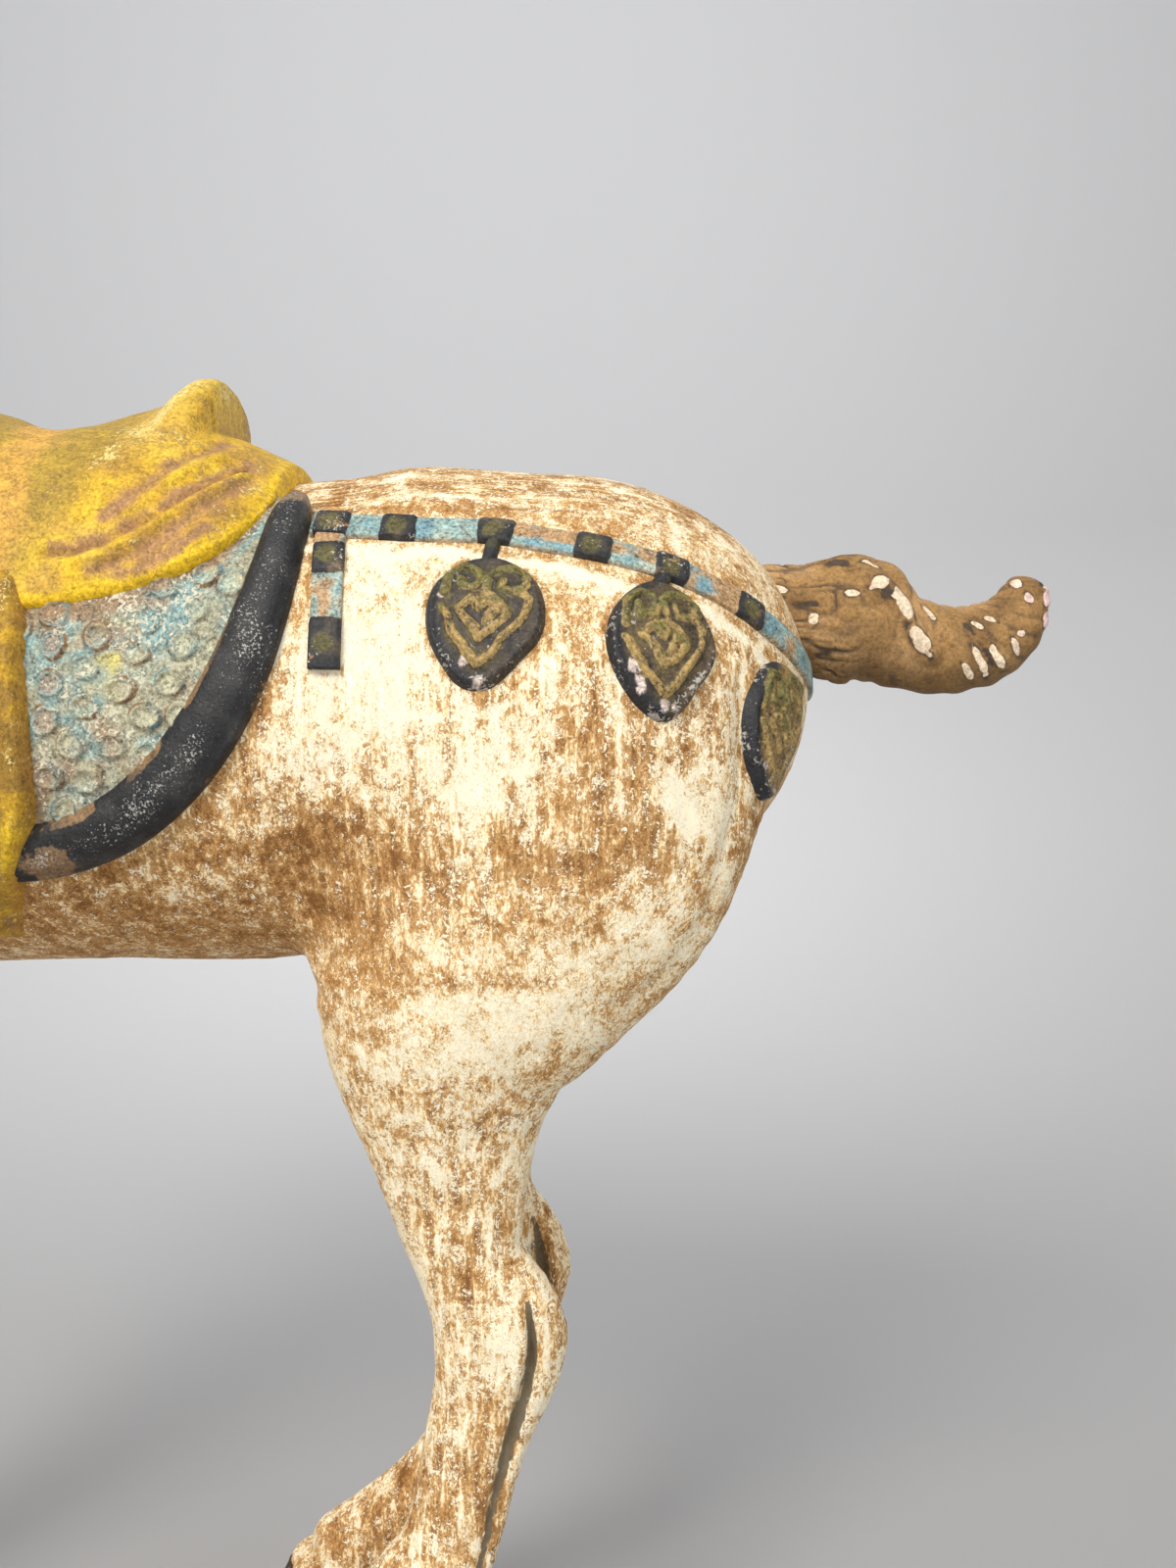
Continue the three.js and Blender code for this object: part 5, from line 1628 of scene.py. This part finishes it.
class Surface:
    """A rough painted surface while its nodes are joined up, with object coordinates in mm."""

    def __init__(self, name, specular):
        self.material, self.shader = plain_material(name, specular)
        self.tree = self.material.node_tree
        self.place = self.stretched(self.add("TexCoord", output="Object"), (1000, 1000, 1000))

    def add(self, kind, settings=None, output=0, **inputs):
        """A new node's output. An input is a number, a vector, a colour or another output, and
        its name is the socket's, or i with the socket's number."""
        node = self.tree.nodes.new("ShaderNode" + kind)
        for key, value in (settings or {}).items():
            setattr(node, key, value)
        for key, value in inputs.items():
            socket = node.inputs[int(key[1:]) if key[1:].isdigit() else key]
            if isinstance(value, bpy.types.NodeSocket):
                self.tree.links.new(value, socket)
            else:
                socket.default_value = rgba(value) if isinstance(value, np.ndarray) else value
        return node.outputs[output]

    def attribute(self, name, output="Fac"):
        """A number of the mesh's points, or their colour."""
        return self.add("Attribute", {"attribute_name": name}, output)

    def stretched(self, place, factors):
        return self.add("VectorMath", {"operation": "MULTIPLY"}, i0=place, i1=factors)

    def noise(self, size, detail=3.0, roughness=0.6, distortion=0.0, place=None):
        """Fractal noise around 0, its largest lumps about size mm."""
        value = self.add("TexNoise", {"normalize": True}, Vector=place or self.place, Scale=1 / size,
                         Detail=detail, Roughness=roughness, Distortion=distortion)
        return self.add("Math", {"operation": "SUBTRACT"}, i0=value, i1=0.5, i2=0.0)

    def times(self, a, b):
        return self.add("Math", {"operation": "MULTIPLY"}, i0=a, i1=b, i2=0.0)

    def sum(self, base, *terms):
        """A base with terms added to it, each of a value and its amount."""
        for value, amount in terms:
            base = self.add("Math", {"operation": "MULTIPLY_ADD"}, i0=value, i1=amount, i2=base)
        return base

    def step_up(self, value, low, high):
        """0 at low, 1 at high, and smooth between them."""
        settings = {"interpolation_type": "SMOOTHSTEP"}
        return self.add("MapRange", settings, i0=value, i1=low, i2=high, i3=0.0, i4=1.0)

    def turned(self, a, b, share):
        """Number a turned into b by a share."""
        return self.add("Mix", {"data_type": "FLOAT"}, i0=share, i2=a, i3=b)

    def mixed(self, a, b, share):
        """Colour a turned into b by a share."""
        return self.add("Mix", {"data_type": "RGBA"}, 2, i0=share, i6=a, i7=b)

    def lit(self, colour, value):
        """A colour made lighter or darker."""
        return self.add("HueSaturation", Color=colour, Hue=0.5, Saturation=1.0, Fac=1.0, Value=value)

    def ramp(self, value, stops):
        """A number as a colour."""
        node = self.tree.nodes.new("ShaderNodeValToRGB")
        self.tree.links.new(value, node.inputs[0])
        elements = node.color_ramp.elements
        while len(elements) < len(stops):
            elements.new(0.5)
        for element, (position, colour) in zip(elements, stops):
            element.position = position
            element.color = rgba(srgb(*colour))
        return node.outputs[0]

    def finished(self, colour, roughness, height, depth=0.4):
        """The material, its colour, roughness and a bump of a depth in mm joined to its shader."""
        normal = self.add("Bump", Strength=1.0, Distance=depth * MM, Height=height)
        for key, value in (("Base Color", colour), ("Roughness", roughness), ("Normal", normal)):
            self.tree.links.new(value, self.shader.inputs[key])
        return self.material


def streaks_of(surface):
    """A maker of streaky noise that runs the way the mesh's attributes say: down, fore and aft,
    or with the brush."""
    upright = surface.stretched(surface.place, (1, 1, 0.1))
    fore_aft = surface.stretched(surface.place, (0.07, 1, 1))
    slanted = surface.add("VectorRotate", {"rotation_type": "Y_AXIS"}, Vector=surface.place,
                          Angle=BRUSHED_ANGLE)
    slanted = surface.stretched(slanted, (0.08, 1, 1))

    def streaks(size):
        down, along = (surface.noise(size, 3, 0.6, place=way) for way in (upright, fore_aft))
        way = surface.turned(down, along, surface.attribute("lengthwise"))
        brushed = surface.noise(0.6 * size, 2, 0.6, place=slanted)
        return surface.turned(way, brushed, surface.attribute("brushed"))

    return streaks


def with_tone_shade_and_black(surface, colour):
    """A colour uneven in tone, with painted shade in the hollows and black where the mesh says."""
    tone = surface.sum(1.0, (surface.noise(12, 3, 0.6), 0.3))
    colour = surface.lit(colour, tone)
    uneven = surface.noise(2.4, 4, 0.7)
    # Painted shade: the channels and the mouth darkened towards shaded clay
    grime = surface.step_up(surface.sum(surface.attribute("grime"), (uneven, 0.5)), 0.42, 0.58)
    colour = surface.mixed(colour, srgb(112, 100, 80), surface.times(grime, 0.94))
    black = surface.step_up(surface.sum(surface.attribute("black"), (uneven, 2.0)), 0.4, 0.6)
    rubbed = surface.sum(0.6, (surface.step_up(uneven, -0.16, -0.02), 0.35))
    return surface.mixed(colour, srgb(44, 42, 42), surface.times(black, rubbed))


def slip_material(name, stops, patch_size=30.0):
    """White slip worn through to the clay: patches, fine speckle, and drips and brush lines."""
    surface = Surface(name, 0.2)
    streaks = streaks_of(surface)
    darkest = srgb(*stops[-1][1])
    streak = surface.attribute("streak")
    drips = streaks(2.6)
    speckle = surface.noise(1.4, 3, 0.7, 1.0, surface.stretched(surface.place, (1, 1, 0.55)))
    level = surface.sum(
        surface.attribute("bare"),
        (surface.noise(patch_size, 5, 0.62, 0.4), 0.6),
        (drips, surface.times(streak, 1.3)),
        (streaks(8.0), surface.times(streak, 0.8)),
        (surface.noise(8.0, 4, 0.6, 0.6), 1.0),
    )
    fine = surface.sum(level, (speckle, 1.5))
    colour = surface.ramp(fine, stops)

    # Crisp leftovers of thick slip with painted shade round their rims, and crisp losses in it
    flakes = surface.sum(surface.noise(2.2, 4, 0.68, 1.2), (drips, streak), (level, -0.28))
    flake_rim_shade = surface.step_up(flakes, -0.15, -0.08)
    kept = surface.step_up(flakes, -0.08, -0.05)
    losses = surface.sum(
        surface.noise(1.5, 3, 0.66, 1.6), (streaks(1.6), surface.times(streak, 0.4)), (level, 0.3)
    )
    lost = surface.step_up(losses, 0.25, 0.29)
    for other, share, amount in (
        (darkest, flake_rim_shade, 0.35), (srgb(254, 244, 214), kept, 0.9), (darkest, lost, 0.75)
    ):
        colour = surface.mixed(colour, other, surface.times(share, amount))

    thick = surface.step_up(fine, 0.62, 0.36)
    height = surface.sum(surface.times(thick, 0.3), (speckle, 0.6))
    roughness = surface.sum(0.84, (thick, -0.1))
    return surface.finished(with_tone_shade_and_black(surface, colour), roughness, height)


def paint_material(name, clay, light, dark, flecks, spots, specular=0.3, rough=0.64, clumps=0.75,
                   wear=1.0, contrast=1.0, fleck_size=1.5):
    """Cold paint from the mesh's colours and marks: mottled, with flecks of a lighter and spots
    of a darker colour, where noise passes the given levels, and worn to the clay in small ragged
    places."""
    surface = Surface(name, specular)
    tone = surface.noise(5, 5, 0.65)
    speckle = surface.noise(1.3, 3, 0.65, 0.5)
    ragged = surface.noise(2.6, 5, 0.72, 0.5)
    patchy = surface.noise(14, 3, 0.6)

    mark = surface.step_up(surface.sum(surface.attribute("mark"), (ragged, 0.9)), 0.4, 0.6)
    paint, marks = (surface.attribute(key, "Color") for key in ("paint", "marks"))
    value = surface.sum(1.0, (tone, 0.8 * contrast), (speckle, 1.5 * contrast))
    colour = surface.lit(surface.mixed(paint, marks, mark), value)
    level = surface.sum(surface.attribute("wear"), (ragged, 1.1 * wear), (patchy, 0.8 * wear))
    bare = surface.step_up(level, 0.45, 0.55)

    fine = surface.noise(fleck_size, 4, 0.68, 0.4)
    fine = surface.add("Math", {"operation": "ADD"}, i0=fine, i1=surface.attribute("flecks"), i2=0.0)
    fleck = surface.step_up(surface.sum(fine, (patchy, clumps)), flecks, flecks + 0.05)
    spot = surface.sum(surface.noise(1.8, 4, 0.68, 0.8), (patchy, -0.5))
    spot = surface.step_up(spot, spots, spots + 0.06)
    for other, share, amount in ((clay, bare, 0.8), (light, fleck, 0.8), (dark, spot, 0.7)):
        colour = surface.mixed(colour, srgb(*other), surface.times(share, amount))

    height = surface.sum(surface.times(bare, -0.3), (speckle, 1.0), (tone, 0.8), (fleck, 0.3))
    return surface.finished(colour, surface.sum(rough, (tone, 0.5)), height)


BODY_STOPS = [
    (0.12, (254, 247, 224)),
    (0.30, (250, 233, 193)),
    (0.42, (238, 208, 156)),
    (0.52, (210, 168, 112)),
    (0.62, (190, 145, 90)),
    (0.80, (174, 130, 78)),
    (1.00, (130, 88, 46)),
]
PLINTH_STOPS = [
    (0.16, (240, 220, 186)),
    (0.32, (222, 190, 146)),
    (0.44, (198, 156, 108)),
    (0.58, (176, 132, 84)),
    (0.78, (154, 110, 66)),
    (0.98, (118, 82, 48)),
]
PLINTH_PATCHES = 50.0
CLAY = (184, 136, 88)
PAINTS = {
    "yellow_paint": dict(
        clay=(172, 130, 84), light=(244, 222, 140), dark=(140, 102, 46), flecks=0.19, spots=0.15,
        contrast=1.5,
    ),
    "blue_paint": dict(
        clay=(174, 142, 110), light=(228, 224, 200), dark=(104, 92, 74), flecks=0.1, spots=0.13,
        clumps=0.5, contrast=2.2,
    ),
    "black_paint": dict(
        clay=(112, 90, 68), light=(206, 204, 198), dark=(18, 19, 22), flecks=0.13, spots=0.2,
        specular=0.45, rough=0.5, clumps=0.3, wear=0.8, contrast=2.0, fleck_size=0.9,
    ),
    "strap_paint": dict(
        clay=CLAY, light=(226, 222, 206), dark=(92, 110, 112), flecks=0.2, spots=0.26,
        specular=0.4, rough=0.58, clumps=0.5, wear=0.9, contrast=2.4,
    ),
    "pendant_paint": dict(
        clay=CLAY, light=(196, 190, 180), dark=(26, 27, 28), flecks=0.15, spots=0.12,
        specular=0.45, rough=0.55, wear=0.6, contrast=2.5,
    ),
    "hair_paint": dict(
        clay=(140, 108, 68), light=(226, 208, 186), dark=(62, 54, 46), flecks=0.32, spots=0.2,
        wear=0.6, contrast=1.2,
    ),
}


# Floor, light and camera

STAGE = dict(flat=0.7, bend=2.7, height=4.4, sides=96)


def stage():
    """A pale floor that rises into a wall all round."""
    flat, bend, sides = STAGE["flat"], STAGE["bend"], STAGE["sides"]
    turn = np.linspace(0.05, np.pi / 2, 30)
    profile = [(flat / 2, 0.0), (flat, 0.0)]
    profile += [(flat + bend * np.sin(a), bend - bend * np.cos(a)) for a in turn]
    profile.append((flat + bend, STAGE["height"]))
    angle = np.arange(sides) / sides * 2 * np.pi
    points = [(r * np.cos(a), r * np.sin(a), z) for r, z in profile for a in angle]
    faces = flipped(grid_quads(len(profile), sides, closed=True)) + [list(range(sides))]
    mesh = bpy.data.meshes.new("floor")
    mesh.from_pydata(points, [], faces)
    mesh.shade_smooth()
    material, shader = plain_material("floor_grey", 0.1)
    shader.inputs["Base Color"].default_value = rgba(srgb(164, 164, 165))
    shader.inputs["Roughness"].default_value = 0.95
    mesh.materials.append(material)
    floor = linked("floor", mesh)


def softbox(name, place, aim, size, watts, colour=(1, 1, 1), spread=180):
    """A round soft lamp that faces a point."""
    data = bpy.data.lights.new(name, "AREA")
    data.shape = "DISK"
    data.spread = math.radians(spread)
    data.size = size
    data.energy = watts
    data.color = colour
    lamp = linked(name, data)
    lamp.location = place
    way = Vector(aim) - Vector(place)
    lamp.rotation_mode = "QUATERNION"
    lamp.rotation_quaternion = way.to_track_quat("-Z", "Y")


def sky():
    """An even, slightly cool light from all round."""
    world = bpy.data.worlds.new("studio")
    bpy.context.scene.world = world
    world.use_nodes = True
    back = next(n for n in world.node_tree.nodes if n.type == "BACKGROUND")
    back.inputs["Color"].default_value = (0.93, 0.96, 1.0, 1)
    back.inputs["Strength"].default_value = 0.66


def lights():
    """A key lamp from the upper left, weak ones all round, and lamps for floor and walls."""
    middle = (0.1, 0, 0.38)
    warm = (1.0, 0.97, 0.93)
    softbox("key", (-0.7, -1.7, 1.75), middle, 1.0, 42, (1.0, 0.95, 0.88))
    softbox("fill", (1.5, -1.3, 0.9), middle, 1.3, 9, warm)
    softbox("back_left", (-1.6, 1.5, 1.6), middle, 1.3, 6, warm)
    softbox("back_right", (1.5, 1.6, 1.8), middle, 1.3, 6, warm)
    for side, way in (("left", -1), ("right", 1)):
        softbox(f"floor_{side}", (0, 1.5 * way, 2.3), (0, 1.5 * way, 0), 1.0, 7, spread=80)
        softbox(f"wall_{side}", (0, 0.9 * way, 2.9), (0, 3.4 * way, 2.2), 1.6, 80)


# The camera stands level, so that its picture's middle looks along +Y
CAMERA = dict(place=(0.235, -0.519, 0.388), lens=29.25)


def camera():
    """A camera where the photo's one stood."""
    data = bpy.data.cameras.new("camera")
    data.sensor_fit = "AUTO"
    data.sensor_width = 36
    data.lens = CAMERA["lens"]
    data.clip_start = 0.02
    made = linked("camera", data)
    made.location = CAMERA["place"]
    made.rotation_euler = (math.pi / 2, 0, 0)
    bpy.context.scene.camera = made


# The scene

def fineness(kept):
    return kept


def saddlery(skin, cloth, rug, roll):
    """Saddle cloth, falls, rug and roll."""
    cover_piece(skin, cloth, fineness(210), fineness(260))
    fall_pieces(skin, cloth, fineness(130), fineness(56))
    rug_pieces(skin, rug, fineness(140), fineness(260))
    roll_pieces(skin, roll, fineness(260))


camera()
stage()
sky()
lights()
bpy.context.scene.view_settings.view_transform = "Standard"

worn_slip = slip_material("worn_slip", BODY_STOPS)
bare_clay = slip_material("bare_clay", PLINTH_STOPS, PLINTH_PATCHES)
yellow, blue, black, straps, leaves, hairy = (
    paint_material(name, **look) for name, look in PAINTS.items()
)

horse = body_volume(fineness(2.1))
body_piece(horse, worn_slip, fineness(192000))
saddlery(horse, yellow, blue, black)
harness(horse, straps, fineness(0.8))
bridle(horse, straps, 1.6)
pendants(horse, leaves, fineness(38), fineness(150))
tail_piece(hairy, fineness(260), fineness(170))
mane_piece(hairy, fineness(300), fineness(64))
plinth_piece(bare_clay, fineness(3.0))
